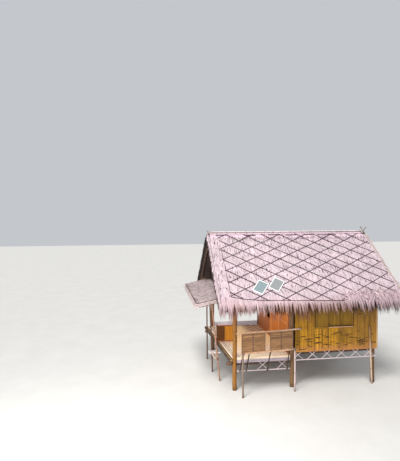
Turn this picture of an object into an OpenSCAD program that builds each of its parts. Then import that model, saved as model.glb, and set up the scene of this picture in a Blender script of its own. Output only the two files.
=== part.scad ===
// Bamboo hut on stilts: a closed room and an open veranda under one thatched gable roof.
// Millimetres, +Z up. X runs along the ridge, Y from front to back.
// The origin is on the ground, where the left and the front post line cross.

/* [Plan] */
// Veranda width between post centres
veranda_w = 1700; // [1400:10:2200]
// Room width between post centres
room_w = 2420; // [2200:10:3200]
// Depth between the front and the back row of posts
house_d = 3400; // [3100:10:4000]
// Post thickness
post_d = 125; // [90:1:150]
// Place of the front left post, from the left post line
front_left_x = 55; // [0:5:80]

/* [Levels] */
// Height of the veranda floor
veranda_floor_z = 840; // [700:10:1000]
// Step up from the veranda floor to the room floor
room_step = 220; // [160:10:300]
// Height of the posts
post_h = 2530; // [2450:10:2700]

/* [Floors] */
// Thickness of the split bamboo floors
floor_t = 25; // [15:1:40]
// Joist thickness
joist_d = 70; // [50:1:80]
// Beam thickness
beam_d = 90; // [60:1:110]
// Number of joists under the veranda, one more runs outside its posts
veranda_joists = 4; // [3:1:5]
// Number of joists under the room
room_joists = 6; // [4:1:7]
// Turn of the veranda's left edge, its back end further out, in degrees
edge_turn = 3.5; // [0:0.5:4]
// Height of the board along the veranda's front edge
fascia_h = 150; // [100:5:170]
// How far that board reaches under the floor's surface
fascia_drop = 80; // [50:5:90]
// Thickness of the board along the veranda's front edge
fascia_t = 24; // [15:1:30]
// Height of the low board along the veranda's back edge
kerb_h = 160; // [80:5:200]

/* [Roof] */
// Roof slope in degrees
roof_slope = 38.4; // [36:0.1:41]
// Thatch thickness
thatch_t = 140; // [100:5:160]
// Thatch length down the slope, from the ridge
thatch_len = 2800; // [2750:10:3100]
// Roof overhang past the left posts
left_overhang = 450; // [400:10:600]
// Roof overhang past the right posts
right_overhang = 690; // [400:10:800]
// Plate thickness
plate_d = 100; // [80:1:110]
// Rafter thickness
rafter_d = 70; // [50:1:80]
// Number of rafter pairs between the two gables
rafter_pairs = 7; // [7:1:9]
// Distance from the rafters' lower ends to the eave edge
rafter_end = 60; // [40:5:120]
// Ridge pole thickness
ridge_pole_d = 90; // [60:1:110]
// Length of the hanging fringe
fringe_len = 370; // [250:10:450]
// Slope of the hanging fringe in degrees
fringe_slope = 60; // [50:1:75]
// Thickness of the hanging fringe
fringe_t = 70; // [40:5:90]
// Part of the eave face that the fringe leaves free
eave_reveal = 20; // [10:5:40]
// Thickness of the thatch cap over the ridge
cap_t = 25; // [15:1:40]
// Width of each side of the ridge cap
cap_w = 220; // [150:10:350]
// Thickness of the poles on the ridge and along the gable edges
edge_pole_d = 35; // [25:1:45]
// How far the crossed gable poles rise past the ridge at the left
left_finial_len = 110; // [80:10:400]
// How far the crossed gable poles rise past the ridge at the right
right_finial_len = 260; // [150:10:400]

/* [Roof lattice] */
// Step along the rising strips, to the right
rise_dx = 329; // [280:1:400]
// Step along the rising strips, up the slope
rise_dy = 175; // [150:1:220]
// Step along the falling strips, to the right
fall_dx = 367; // [300:1:420]
// Step along the falling strips, down the slope
fall_dy = 270; // [220:1:320]
// Width of a lattice strip
strip_w = 24; // [15:1:35]
// Thickness of a lattice strip
strip_t = 12; // [8:1:20]
// Distance from the eave edge up to the lowest strip
strip_eave = 120; // [80:5:250]
// Distance from the left roof edge to the lattice's border strip
strip_left = 330; // [200:10:400]
// Distance from the right roof edge to the lattice's end
strip_right = 80; // [60:10:200]
// First crossing, from the lattice's left edge
first_cross_x = -260; // [-400:10:400]
// First crossing, from the lattice's lower edge
first_cross_y = 442; // [0:2:600]

/* [Pent roof] */
// How far the pent roof stands out from the left posts
pent_out = 990; // [800:10:1100]
// Height of the pent roof's outer edge
pent_z = 2415; // [2350:5:2420]
// Slope of the pent roof in degrees
pent_slope = 12; // [8:0.5:12]
// Thickness of the pent roof's thatch
pent_t = 90; // [60:5:110]
// Gap between the pent roof's ends and the post lines
pent_inset = 60; // [55:5:150]
// Thickness of the pent roof's poles
pent_pole_d = 42; // [35:1:50]
// Number of pent roof rafters
pent_rafters_n = 5; // [3:1:7]
// Distance of the pent roof's purlin from the left post line, at its front end
purlin_out = 520; // [400:10:600]
// Turn of that purlin on the roof's slope, its front end further out, in degrees
purlin_turn = 4.2; // [0:0.1:5]
// Side post thickness
side_post_d = 45; // [35:1:55]
// Feet of the side posts: from the left post line, and along the left side
side_post_feet = [[-240, 650], [-345, 1340], [-340, 2480]];

/* [Walls] */
// Thickness of the outer woven walls
wall_t = 30; // [20:1:40]
// Thickness of the wall between room and veranda
inner_wall_t = 40; // [36:1:50]
// Height of the outer walls' lower edge
wall_bottom_z = 1000; // [950:5:1020]
// Left edge of the window, from the left end of the room
window_x = 630; // [400:10:900]
// Window width
window_w = 1150; // [900:10:1300]
// Window height
window_h = 650; // [500:10:700]
// Height of the window's lower edge
window_z = 1640; // [1500:10:1700]
// Width of a window frame bar
frame_w = 45; // [30:1:60]
// Depth of a window frame bar
frame_t = 50; // [40:1:70]
// Thickness of the window shutters
shutter_t = 12; // [8:1:14]

/* [Doors] */
// Distance from the front posts to the doorway
door_y = 335; // [300:5:420]
// Width of one door leaf
leaf_w = 758; // [600:1:780]
// Height of a door leaf
leaf_h = 1680; // [1500:10:1690]
// Thickness of a leaf's stiles and rails
leaf_bar = 36; // [30:1:40]
// Thickness of a leaf's woven panel
leaf_panel_t = 12; // [8:1:20]
// Height of the leaf's middle rail above the leaf's foot
leaf_rail_z = 560; // [400:10:900]
// Gap around a leaf
leaf_gap = 6; // [5:0.5:10]
// Diameter of a leaf's pivots
pivot_d = 24; // [16:1:28]
// Length of a leaf's pivots past the gap
pivot_len = 16; // [10:1:18]
// Width of a door jamb
jamb_w = 65; // [45:1:80]
// Depth of the door frame
jamb_t = 62; // [60:1:80]
// Thickness of the threshold and the lintel
sill_t = 26; // [22:1:40]
// Left edge of the small side window, behind the doorway
side_window_gap = 20; // [15:5:120]
// Width of the small side window
side_window_w = 440; // [300:10:550]
// Height of the small side window
side_window_h = 550; // [300:10:700]
// Height of the small side window's lower edge above the room floor
side_window_z = 340; // [250:10:500]

/* [Skirts] */
// Height of the lattice skirts
skirt_h = 240; // [180:5:260]
// Thickness of the skirts
skirt_t = 14; // [10:1:18]
// Width of a skirt's crossing bars
skirt_bar_w = 22; // [15:1:30]
// Height of a skirt's lower rail
skirt_rail_h = 28; // [20:1:40]
// Spread of a crossing's bars on the lower rail
cross_foot_w = 365; // [250:5:420]
// Spread of a crossing's bars at the skirt's top
cross_top_w = 195; // [100:5:300]
// First crossing of the room's skirt, from its left end
room_cross_x = 85; // [0:5:250]
// Distance between the crossings of the room's skirt
room_cross_step = 428; // [400:2:600]
// First crossing of the veranda's skirt, from its left end
veranda_cross_x = 780; // [200:5:900]
// Distance between the crossings of the veranda's skirt
veranda_cross_step = 560; // [450:5:700]
// How far the veranda's skirt reaches under its fascia
skirt_lap = 8; // [5:1:12]

/* [Railing] */
// Turn of the railing seen from above, its left end further out, in degrees
rail_turn = 7; // [0:0.5:9]
// Distance of the railing from the front post line, at the left post line
rail_out = 530; // [450:5:600]
// Height of the lower rail
low_rail_z = 1175; // [1100:5:1250]
// Height of the upper rail
top_rail_z = 1720; // [1650:5:1800]
// Start of the lower rail, along the railing
low_rail_x = 135; // [60:5:140]
// Length of the lower rail
low_rail_len = 1570; // [1500:5:1700]
// Start of the upper rail, along the railing
top_rail_x = -15; // [-80:5:60]
// Length of the upper rail
top_rail_len = 1890; // [1750:5:2000]
// Thickness of the railing's rails
rail_d = 45; // [30:1:55]
// Thickness of the railing's struts
strut_d = 36; // [25:1:45]
// Places of the struts from the left post line
strut_x = [190, 365, 970, 1530];
// Start of each railing panel, along the railing
panel_x = [135, 945];
// Width of one railing panel
panel_w = 670; // [500:5:700]
// Thickness of a railing panel
panel_t = 12; // [8:1:20]

/* [Entry] */
// Place of the entry screen along the left side
screen_y = 1610; // [1450:10:1900]
// Width of the entry screen
screen_w = 550; // [400:10:700]
// Height of the entry screen
screen_h = 560; // [450:10:700]
// Thickness of the entry screen's poles
screen_pole_d = 34; // [25:1:45]
// Thickness of the entry screen's panel
screen_t = 12; // [8:1:20]
// Height of the entry step
step_z = 690; // [500:10:700]
// Distance of the entry step's middle from the left post line
step_out = 305; // [280:5:340]
// Width of the entry step's board
step_w = 350; // [250:10:360]
// Depth of the entry step's board
step_depth = 200; // [120:10:300]
// Thickness of the entry step's board
step_t = 28; // [18:1:40]
// Thickness of the entry step's bearers
bearer_d = 40; // [30:1:50]

/* [Props] */
// Thickness of the slim props
prop_d = 50; // [35:1:60]
// Places of the railing's props, along the railing
prop_x = [170, 1675];
// Place of the leaning prop's foot from the left post line
lean_prop_x = 4040; // [3900:10:4060]
// Length of the leaning prop
lean_prop_len = 1660; // [1100:10:1800]
// Sideways lean of that prop in degrees
lean_prop_deg = 3; // [0:0.5:5]

/* [Solar panels] */
// Width of a small solar panel
solar_w = 305; // [250:5:400]
// Length of a small solar panel
solar_len = 460; // [400:5:600]
// Thickness of a small solar panel
solar_t = 18; // [12:1:30]
// Turn of the solar panels on the slope in degrees
solar_turn = -36; // [-45:1:-20]
// Middle of each solar panel: from the left post line, and down the slope
solar_at = [[770, 2285], [1240, 2205]];

/* [Hidden] */
$fn = 48;

// Gap at which lashed poles lie apart
seat = 0.3;
// Radial gap of a pivot in its socket
pivot_gap = 0.1;

post_r = post_d / 2;
room_x = veranda_w;
right_x = veranda_w + room_w;
mid_y = house_d / 2;
room_floor_z = veranda_floor_z + room_step;

// Roof levels, worked out from the plates upwards
plate_z = post_h + seat + plate_d / 2;
axis_over_plate = plate_d / 2 + seat + rafter_d / 2;
top_over_axis = rafter_d / 2 + seat + thatch_t;
slope_tan = tan(roof_slope);
slope_cos = cos(roof_slope);
slope_sin = sin(roof_slope);
ridge_z = plate_z + (axis_over_plate + top_over_axis) / slope_cos + mid_y * slope_tan;
under_ridge_z = ridge_z - (thatch_t + seat) / slope_cos;
rafter_under_ridge_z = ridge_z - (thatch_t + 2 * seat + rafter_d) / slope_cos;
roof_x0 = -left_overhang;
roof_x1 = right_x + right_overhang;
roof_len = roof_x1 - roof_x0;
ridge_pole_z = ridge_z
    - (thatch_t + 2 * seat + rafter_d + ridge_pole_d / 2) / slope_cos;

// Outer faces of the walls
wall_in = post_r + seat;
wall_out = wall_in + wall_t;
wall_top_z = rafter_under_ridge_z - (mid_y + wall_out) * slope_tan - seat;
gable_z = post_h - wall_t;

// The veranda's skirt hangs under the front of its fascia
veranda_skirt_back = 1.5 * fascia_t + seat - skirt_lap;
veranda_skirt_top = veranda_floor_z - fascia_drop - seat;

// Doorway
sill_z = room_floor_z;
leaf_z = sill_z + sill_t + leaf_gap;
lintel_z = leaf_z + leaf_h + leaf_gap;
doorway_w = 2 * leaf_w + 3 * leaf_gap;
frame_y0 = door_y - jamb_w;
frame_y1 = door_y + doorway_w + jamb_w;
pivot_in = leaf_gap + leaf_bar / 2;

// Height of the thatch's underside over a place y
function under_z(y) = under_ridge_z - abs(mid_y - y) * slope_tan;

// A pole along X, Y or Z
module pole_x(d, len) rotate([0, 90, 0]) cylinder(d = d, h = len);
module pole_y(d, len) rotate([-90, 0, 0]) cylinder(d = d, h = len);
module pole_z(d, len) cylinder(d = d, h = len);

// Draws its children at the front and, mirrored, at the back
module front_and_back() {
    children();
    translate([0, house_d, 0]) mirror([0, 1, 0]) children();
}

// The front slope: X along the ridge, -Y down the slope, Z out of the thatch
module on_front() translate([0, mid_y, ridge_z]) rotate([roof_slope, 0, 0]) children();
module on_back() translate([0, house_d, 0]) mirror([0, 1, 0]) on_front() children();

// A profile of Y and Z drawn along X
module along_x(x0, len) translate([x0, 0, 0]) rotate([90, 0, 90])
    linear_extrude(len) children();

// Turns the z axis to a unit vector
module aim(v) rotate([0, acos(v[2]), atan2(v[1], v[0])]) children();

// Posts, props and floors
post_places = [[front_left_x, 0], [room_x, 0], [right_x, 0],
    [0, house_d], [room_x, house_d], [right_x, house_d]];

module posts() color("peru") for (place = post_places) translate(place)
    pole_z(post_d, post_h);

// The railing stands upright in its own plane: x runs along it
module on_railing() translate([0, -rail_out, 0]) rotate(rail_turn) children();

// Upright props carry the ends of the railing's lower rail
module railing_props() color("rosybrown") on_railing() for (x = prop_x)
    translate([x, 0, 0]) pole_z(prop_d, low_rail_z - rail_d / 2 - seat);

// Its foot is cut level
module leaning_prop() color("rosybrown") difference() {
    translate([lean_prop_x, -wall_out - prop_d / 2 - seat, 0]) rotate([0, -lean_prop_deg, 0])
        translate([0, 0, -prop_d]) pole_z(prop_d, lean_prop_len + prop_d);
    translate([lean_prop_x - prop_d * 3, -wall_out - prop_d * 2, -prop_d * 3])
        cube([prop_d * 6, prop_d * 3, prop_d * 3]);
}

// The last joist runs outside the left posts and carries the floor's left edge
edge_x = front_left_x - (wall_in + joist_d / 2) / cos(edge_turn);
function floor_left(y) = edge_x - joist_d / 2 / cos(edge_turn) - y * tan(edge_turn);

module beam(x0, x1, y, floor_z)
    translate([x0, y, floor_z - floor_t - joist_d - beam_d / 2 - 2 * seat])
        pole_x(beam_d, x1 - x0);

beam_y = post_r + seat + beam_d / 2;

module floor_beams() color("sienna") {
    beam(floor_left(0) - joist_d, room_x + post_r, beam_y, veranda_floor_z);
    beam(floor_left(house_d), room_x + post_r, house_d - beam_y, veranda_floor_z);
    for (y = [beam_y, house_d - beam_y])
        beam(room_x + inner_wall_t / 2 + seat, right_x + post_r, y, room_floor_z);
}

module joist_row(x0, x1, n, y0, floor_z) for (i = [0:n - 1])
    translate([x0 + (x1 - x0) * i / (n - 1), y0, floor_z - floor_t - joist_d / 2 - seat])
        pole_y(joist_d, house_d - 2 * y0);

module floor_joists() color("saddlebrown") {
    joist_row(front_left_x + wall_in + joist_d / 2, room_x - wall_in - joist_d / 2,
        veranda_joists, -fascia_t / 2, veranda_floor_z);
    translate([edge_x, 0, veranda_floor_z - floor_t - joist_d / 2 - seat]) rotate(edge_turn)
        translate([0, -wall_in, 0]) pole_y(joist_d, house_d + 2 * wall_in);
    joist_row(room_x + wall_in + joist_d / 2, right_x - wall_in - joist_d / 2, room_joists,
        -post_r, room_floor_z);
}

// A floor between two depths, from its left edge at both of them to x1
module floor_slab(front_x0, back_x0, x1, y0, z) difference() {
    translate([0, 0, z - floor_t]) linear_extrude(floor_t) polygon([[front_x0, y0],
        [x1, y0], [x1, house_d - y0], [back_x0, house_d - y0]]);
    for (place = post_places) translate([place[0], place[1], z - 2 * floor_t])
        rotate(place[1] > 0 ? 180 : 0) post_notch();
}

// Room for a post at a floor's edge, open to the outside
module post_notch() {
    pole_z(post_d + 4 * seat, 3 * floor_t);
    translate([-post_r - 2 * seat, -post_d, 0]) cube([post_d + 4 * seat, post_d, 3 * floor_t]);
}

module veranda_floor() color("tan")
    floor_slab(floor_left(-fascia_t / 2), floor_left(house_d + fascia_t / 2),
        room_x - inner_wall_t / 2 - seat, -fascia_t / 2, veranda_floor_z);

room_floor_x0 = room_x + inner_wall_t / 2 + seat;
module room_floor() color("tan")
    floor_slab(room_floor_x0, room_floor_x0, right_x + wall_in - seat, -post_r, room_floor_z);

module fascia_board(x0, y) translate([x0, y, veranda_floor_z - fascia_drop])
    cube([room_x - wall_in - x0, fascia_t, fascia_h]);

module veranda_fascia() color("thistle") {
    fascia_board(front_left_x + wall_in, -fascia_t * 1.5 - seat);
    fascia_board(wall_in, house_d + fascia_t / 2 + seat);
}

module veranda_kerb() color("gray")
    translate([wall_in, house_d - fascia_t, veranda_floor_z])
        cube([veranda_w - 2 * wall_in, fascia_t, kerb_h]);

// Roof frame
module plates() color("peru") front_and_back()
    translate([roof_x0 + 2 * edge_pole_d, 0, plate_z])
        pole_x(plate_d, roof_len - 4 * edge_pole_d);

// Places of the rafter pairs, the first and the last under the gable edges
rafter_x = concat([roof_x0 + 2 * edge_pole_d],
    [for (i = [0:rafter_pairs - 1]) right_x * i / (rafter_pairs - 1)],
    [roof_x1 - 2 * edge_pole_d]);
rafter_start = (thatch_t + seat + rafter_d) * slope_tan + 1;

module rafter_row() for (x = rafter_x)
    translate([x, -rafter_start, -thatch_t - seat - rafter_d / 2])
        mirror([0, 1, 0]) pole_y(rafter_d, thatch_len - rafter_start - rafter_end);

module rafters() color("sienna") {
    on_front() rafter_row();
    on_back() rafter_row();
}

module ridge_pole() color("sienna") translate([roof_x0 + edge_pole_d, mid_y, ridge_pole_z])
    pole_x(ridge_pole_d, roof_len - 2 * edge_pole_d);

// The front thatch in profile: along its top, down its eave face, back underneath
eave_y = mid_y - thatch_len * slope_cos;
eave_z = ridge_z - thatch_len * slope_sin;
thatch_y1 = mid_y - seat / 2;
thatch_z1 = ridge_z - seat / 2 * slope_tan;
thatch_profile = [
    [thatch_y1, thatch_z1],
    [eave_y, eave_z],
    [eave_y + thatch_t * slope_sin, eave_z - thatch_t * slope_cos],
    [thatch_y1, thatch_z1 - thatch_t / slope_cos]];

// The fringe hangs from the eave face, steeper than the roof
fringe_out = [eave_y, eave_z] - fringe_len * [cos(fringe_slope), sin(fringe_slope)];
fringe_profile = [
    [eave_y, eave_z],
    fringe_out,
    fringe_out + fringe_t * [sin(fringe_slope), -cos(fringe_slope)],
    [eave_y, eave_z] + (thatch_t - eave_reveal) * [slope_sin, -slope_cos]];

module front_thatch() color("thistle") along_x(roof_x0, roof_len) polygon(thatch_profile);

module back_thatch() color("thistle") translate([0, house_d, 0]) mirror([0, 1, 0])
    front_thatch();

module front_fringe() color("thistle") along_x(roof_x0, roof_len) polygon(fringe_profile);

module back_fringe() color("thistle") translate([0, house_d, 0]) mirror([0, 1, 0])
    front_fringe();

// The crossed gable poles take this much of each roof end
cap_inset = 3 * edge_pole_d;

// Underside of the cap at the ridge line
cap_z = ridge_z + seat / slope_cos;
cap_edge = cap_w * [slope_cos, -slope_sin];
cap_lip = cap_t * [slope_sin, slope_cos];
module ridge_cap() color("plum") along_x(roof_x0 + cap_inset, roof_len - 2 * cap_inset)
    for (side = [0, 1]) translate([mid_y, cap_z]) mirror([side, 0]) polygon([
        [0, 0],
        cap_edge,
        cap_edge + cap_lip,
        [0, cap_t / slope_cos]]);

// Two of the trim poles lie this far down the slopes
side_trim_at = 2.5 * edge_pole_d;

module ridge_trim_pole() translate([roof_x0 + cap_inset, 0, 0])
    pole_x(edge_pole_d, roof_len - 2 * cap_inset);

module ridge_trim_poles() color("wheat") {
    translate([0, mid_y, cap_z + cap_t / slope_cos + edge_pole_d / 2 + seat])
        ridge_trim_pole();
    on_front() translate([0, -side_trim_at, cap_t + edge_pole_d / 2 + 2 * seat])
        ridge_trim_pole();
    on_back() translate([0, -side_trim_at, cap_t + edge_pole_d / 2 + 2 * seat])
        ridge_trim_pole();
}

module gable_pole(x, rise) translate([x, rise, edge_pole_d / 2 + seat])
    mirror([0, 1, 0]) pole_y(edge_pole_d, thatch_len + rise);

// Front and back poles lie side by side where they cross over the ridge
module gable_poles() color("wheat") {
    on_front() gable_pole(roof_x0 + edge_pole_d / 2, left_finial_len);
    on_front() gable_pole(roof_x1 - edge_pole_d / 2, right_finial_len);
    on_back() gable_pole(roof_x0 + edge_pole_d * 1.5 + seat, left_finial_len);
    on_back() gable_pole(roof_x1 - edge_pole_d * 1.5 - seat, right_finial_len);
}

// Roof lattice, drawn flat: x along the ridge, y up the slope from the ridge line
lattice_x0 = roof_x0 + strip_left;
lattice_x1 = roof_x1 - strip_right;
lattice_y0 = -thatch_len + strip_eave;
lattice_y1 = -cap_w - seat;
// One crossing of the lattice, from which all others are counted
cross_x = lattice_x0 + first_cross_x;
cross_y = lattice_y0 + first_cross_y;
cross_area = rise_dx * fall_dy + rise_dy * fall_dx;
// How many rising and falling steps lead from that crossing to a place
function rise_steps(x, y) =
    ((x - cross_x) * fall_dy + (y - cross_y) * fall_dx) / cross_area;
function fall_steps(x, y) =
    ((x - cross_x) * rise_dy - (y - cross_y) * rise_dx) / cross_area;
lattice_diagonal = roof_len + thatch_len;

module strip_line(x, y, angle) translate([x, y]) rotate(angle)
    square([2 * lattice_diagonal, strip_w], center = true);

module lattice_strips() {
    for (i = [ceil(rise_steps(lattice_x0, lattice_y0)):floor(rise_steps(lattice_x1, lattice_y1))])
        strip_line(cross_x + i * rise_dx, cross_y + i * rise_dy, -atan2(fall_dy, fall_dx));
    for (j = [ceil(fall_steps(lattice_x0, lattice_y1)):floor(fall_steps(lattice_x1, lattice_y0))])
        strip_line(cross_x + j * fall_dx, cross_y - j * fall_dy, atan2(rise_dy, rise_dx));
    for (y = [lattice_y0 + strip_w / 2, lattice_y1 - strip_w / 2])
        strip_line(lattice_x0, y, 0);
    for (x = [lattice_x0 + strip_w / 2, lattice_x1 - strip_w / 2])
        strip_line(x, lattice_y0, 90);
}

module lattice() translate([0, 0, seat]) linear_extrude(strip_t) intersection() {
    lattice_strips();
    translate([lattice_x0, lattice_y0])
        square([lattice_x1 - lattice_x0, lattice_y1 - lattice_y0]);
}

module front_lattice() color("saddlebrown") on_front() lattice();

module back_lattice() color("saddlebrown") on_back() lattice();

// The gable ends lie between the planes of the long walls
gable_y0 = -wall_in + seat;

// A gable panel, cut out for the plates and the ridge pole that pass through it
module gable_panel(x0) difference() {
    along_x(x0, wall_t) polygon([
        [gable_y0, gable_z],
        [house_d - gable_y0, gable_z],
        [house_d - gable_y0, under_z(gable_y0)],
        [mid_y, under_ridge_z],
        [gable_y0, under_z(gable_y0)]]);
    for (y = [0, house_d]) translate([x0 - wall_t, y, plate_z])
        pole_x(plate_d + 2 * seat, 3 * wall_t);
    translate([x0 - wall_t, mid_y, ridge_pole_z])
        pole_x(ridge_pole_d + 2 * seat, 3 * wall_t);
}

module gables() color("dimgray") {
    gable_panel(-wall_out);
    gable_panel(right_x + wall_in);
}

// Pent roof: X is outwards from the gable, drawn on its own slope
pent_hang = wall_out + seat;
pent_top_z = pent_z + (pent_out - pent_hang) * tan(pent_slope);
pent_len = (pent_out - pent_hang) / cos(pent_slope);
pent_span = house_d - 2 * pent_inset;
module on_pent() translate([-pent_hang, 0, pent_top_z]) rotate([0, -pent_slope, 0])
    mirror([1, 0, 0]) children();

module pent_thatch() color("thistle") on_pent()
    translate([pent_t * tan(pent_slope), pent_inset, -pent_t])
        cube([pent_len - pent_t * tan(pent_slope), pent_span, pent_t]);

// A place under the pent roof: x outwards down its slope, depth square to it
function pent_at(x, y, depth) = [
    -pent_hang - x * cos(pent_slope) + depth * sin(pent_slope), y,
    pent_top_z - x * sin(pent_slope) - depth * cos(pent_slope)];

// The poles that carry the pent roof's rafters: a ledger along the left posts and a purlin
ledger_depth = pent_t + 1.5 * pent_pole_d + 2 * seat;
function ledger_x(out) = (out - pent_hang + ledger_depth * sin(pent_slope)) / cos(pent_slope);
ledger_from = pent_at(ledger_x(wall_in + pent_pole_d / 2), -post_r, ledger_depth);
purlin_from = pent_at(ledger_x(purlin_out), pent_inset, ledger_depth);
purlin_to = pent_at(ledger_x(purlin_out) - pent_span * tan(purlin_turn),
    pent_inset + pent_span, ledger_depth);
purlin_len = norm(purlin_to - purlin_from);
purlin_run = (purlin_to - purlin_from) / purlin_len;

module pent_poles() color("sienna") {
    for (i = [0:pent_rafters_n - 1])
        on_pent() translate([pent_t, pent_inset + pent_pole_d
                + (pent_span - 2 * pent_pole_d) * i / (pent_rafters_n - 1),
                -pent_t - seat - pent_pole_d / 2])
            pole_x(pent_pole_d, pent_len - pent_t - pent_pole_d);
    translate(purlin_from) aim(purlin_run) pole_z(pent_pole_d, purlin_len);
    translate(ledger_from) pole_y(pent_pole_d, house_d + post_d);
}

// From a side post's foot straight to the purlin, square to it
function side_post_run(foot) = purlin_from
    + ((foot - purlin_from) * purlin_run) * purlin_run - foot;

// A side post, its foot cut level
module side_post(foot) {
    run = side_post_run(foot);
    difference() {
        translate(foot) aim(run / norm(run)) translate([0, 0, -side_post_d])
            pole_z(side_post_d, norm(run) + side_post_d - pent_pole_d / 2 - seat);
        translate(foot - side_post_d * [1, 1, 2]) cube(2 * side_post_d);
    }
}

module side_posts() color("maroon") for (foot = side_post_feet)
    side_post([foot[0], foot[1], 0]);

// Outer walls
module front_wall() color("goldenrod") long_wall();

module back_wall() color("goldenrod") translate([0, house_d, 0]) mirror([0, 1, 0])
    long_wall();

module long_wall() difference() {
    translate([room_x + wall_in, -wall_out, wall_bottom_z])
        cube([room_w - wall_in + wall_out, wall_t, wall_top_z - wall_bottom_z]);
    translate([room_x + window_x, -2 * wall_out, window_z])
        cube([window_w, 2 * wall_out, window_h]);
}

module right_wall() color("goldenrod")
    translate([right_x + wall_in, gable_y0, wall_bottom_z])
        cube([wall_t, house_d - 2 * gable_y0, gable_z - wall_bottom_z - seat]);

// The wall between veranda and room, in four pieces round the doorway, up to the thatch
module inner_wall(y0, y1, z0, z1) color("chocolate")
    along_x(room_x - inner_wall_t / 2, inner_wall_t) intersection() {
        translate([y0, z0]) square([y1 - y0, z1 - z0]);
        polygon([[0, 0], [house_d, 0], [house_d, under_z(house_d)],
            [mid_y, under_ridge_z], [0, under_z(0)]]);
    }

module left_wall_base()
    inner_wall(wall_in, house_d - wall_in, veranda_floor_z - floor_t, room_floor_z);

module left_wall_front() inner_wall(wall_in, frame_y0, room_floor_z, ridge_z);

// It stops under the ridge pole
module left_wall_over_door()
    inner_wall(frame_y0, frame_y1, lintel_z + sill_t, ridge_pole_z - ridge_pole_d / 2 - seat);

side_window_y = frame_y1 + side_window_gap;
module left_wall_back() difference() {
    inner_wall(frame_y1, house_d - wall_in, room_floor_z, ridge_z);
    translate([room_x - inner_wall_t, side_window_y, room_floor_z + side_window_z])
        cube([2 * inner_wall_t, side_window_w, side_window_h]);
}

// Windows
module window_frame() difference() {
    translate([room_x + window_x, -wall_out - (frame_t - wall_t) / 2, window_z])
        cube([window_w, frame_t, window_h]);
    translate([room_x + window_x + frame_w, -wall_out - frame_t, window_z + frame_w])
        cube([window_w - 2 * frame_w, 3 * frame_t, window_h - 2 * frame_w]);
}

module window_frames() color("rosybrown") front_and_back() window_frame();

module window_shutters() color("olive") front_and_back()
    translate([room_x + window_x + frame_w, -wall_in - shutter_t, window_z + frame_w])
        cube([window_w - 2 * frame_w, shutter_t, window_h - 2 * frame_w]);

// Doors
module door_frame() color("sienna") difference() {
    translate([room_x - jamb_t / 2, frame_y0, sill_z])
        cube([jamb_t, frame_y1 - frame_y0, lintel_z + sill_t - sill_z]);
    translate([room_x - jamb_t, door_y, sill_z + sill_t])
        cube([2 * jamb_t, doorway_w, lintel_z - sill_z - sill_t]);
    for (y = [door_y + pivot_in, door_y + doorway_w - pivot_in])
        for (z = [leaf_z - leaf_gap - pivot_len - seat, lintel_z])
            translate([room_x, y, z]) pole_z(pivot_d + 2 * pivot_gap, pivot_len + seat);
}

// A leaf at the front jamb: a round pivot stile, a second stile, three rails, a panel
module leaf() {
    translate([room_x, door_y + pivot_in, leaf_z]) {
        pole_z(leaf_bar, leaf_h);
        translate([0, 0, -leaf_gap - pivot_len])
            pole_z(pivot_d, leaf_h + 2 * (leaf_gap + pivot_len));
        for (z = [0, leaf_rail_z, leaf_h - leaf_bar]) translate([-leaf_bar / 2, 0, z])
            cube([leaf_bar, leaf_w - leaf_bar / 2, leaf_bar]);
        translate([-leaf_bar / 2, leaf_w - leaf_bar * 1.5, 0])
            cube([leaf_bar, leaf_bar, leaf_h]);
        translate([-leaf_panel_t / 2, 0, 0])
            cube([leaf_panel_t, leaf_w - leaf_bar, leaf_h]);
    }
}

module door_leaf_front() color("darkorange") leaf();

module door_leaf_back() color("darkorange")
    translate([0, 2 * door_y + doorway_w, 0]) mirror([0, 1, 0]) leaf();

// A bar from a place on the skirt's lower edge to a place on its top
module skirt_bar(x0, x1) polygon([
    [x0 - skirt_bar_w / 2, 0],
    [x0 + skirt_bar_w / 2, 0],
    [x1 + skirt_bar_w / 2, skirt_h],
    [x1 - skirt_bar_w / 2, skirt_h]]);

// Skirts: crossing bars over a lower rail, drawn flat and set upright
module skirt(x0, x1, top_z, cross_x0, cross_step, y) {
    width = x1 - x0;
    translate([x0, y, top_z - skirt_h]) rotate([90, 0, 0]) linear_extrude(skirt_t) {
        square([width, skirt_rail_h]);
        intersection() {
            square([width, skirt_h]);
            for (x = [cross_x0:cross_step:width]) for (side = [-0.5, 0.5])
                skirt_bar(x + side * cross_foot_w, x - side * cross_top_w);
        }
    }
}

// The veranda's skirt starts beside a left post
module veranda_skirt(post_x) skirt(post_x + wall_in, room_x - wall_in, veranda_skirt_top,
    veranda_cross_x - post_x, veranda_cross_step, -veranda_skirt_back);

module skirts() color("rosybrown") {
    front_and_back() skirt(room_x + wall_in, right_x + wall_in, wall_bottom_z - seat,
        room_cross_x, room_cross_step, -wall_in);
    veranda_skirt(front_left_x);
    translate([0, house_d, 0]) mirror([0, 1, 0]) veranda_skirt(0);
}

// Railing struts lean out from the skirt's lower rail and pass behind the lower rail
skirt_front = veranda_skirt_back + skirt_t;
strut_foot_z = veranda_skirt_top - skirt_h;
strut_rise = low_rail_z - strut_foot_z;
rail_gap = (strut_d + rail_d + 2 * seat) / 2 / cos(rail_turn);
// How far the lower rail lies out from a strut's foot
function rail_ahead(x, foot) = rail_out - x * tan(rail_turn) - foot;
function strut_lean(x, foot) = atan2(rail_ahead(x, foot), strut_rise)
    - asin(rail_gap / norm([rail_ahead(x, foot), strut_rise]));
function strut_foot(x) = skirt_front + seat
    + strut_d / 2 * cos(strut_lean(x, skirt_front + strut_d / 2));
// A strut ends a little above the place where it touches the rail
strut_over = 5;
function strut_len(x, foot) = strut_over
    + sqrt(pow(rail_ahead(x, foot), 2) + pow(strut_rise, 2) - pow(rail_gap, 2));

module railing_strut(x, foot) translate([x, -foot, strut_foot_z])
    rotate([strut_lean(x, foot), 0, 0]) pole_z(strut_d, strut_len(x, foot));

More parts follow.
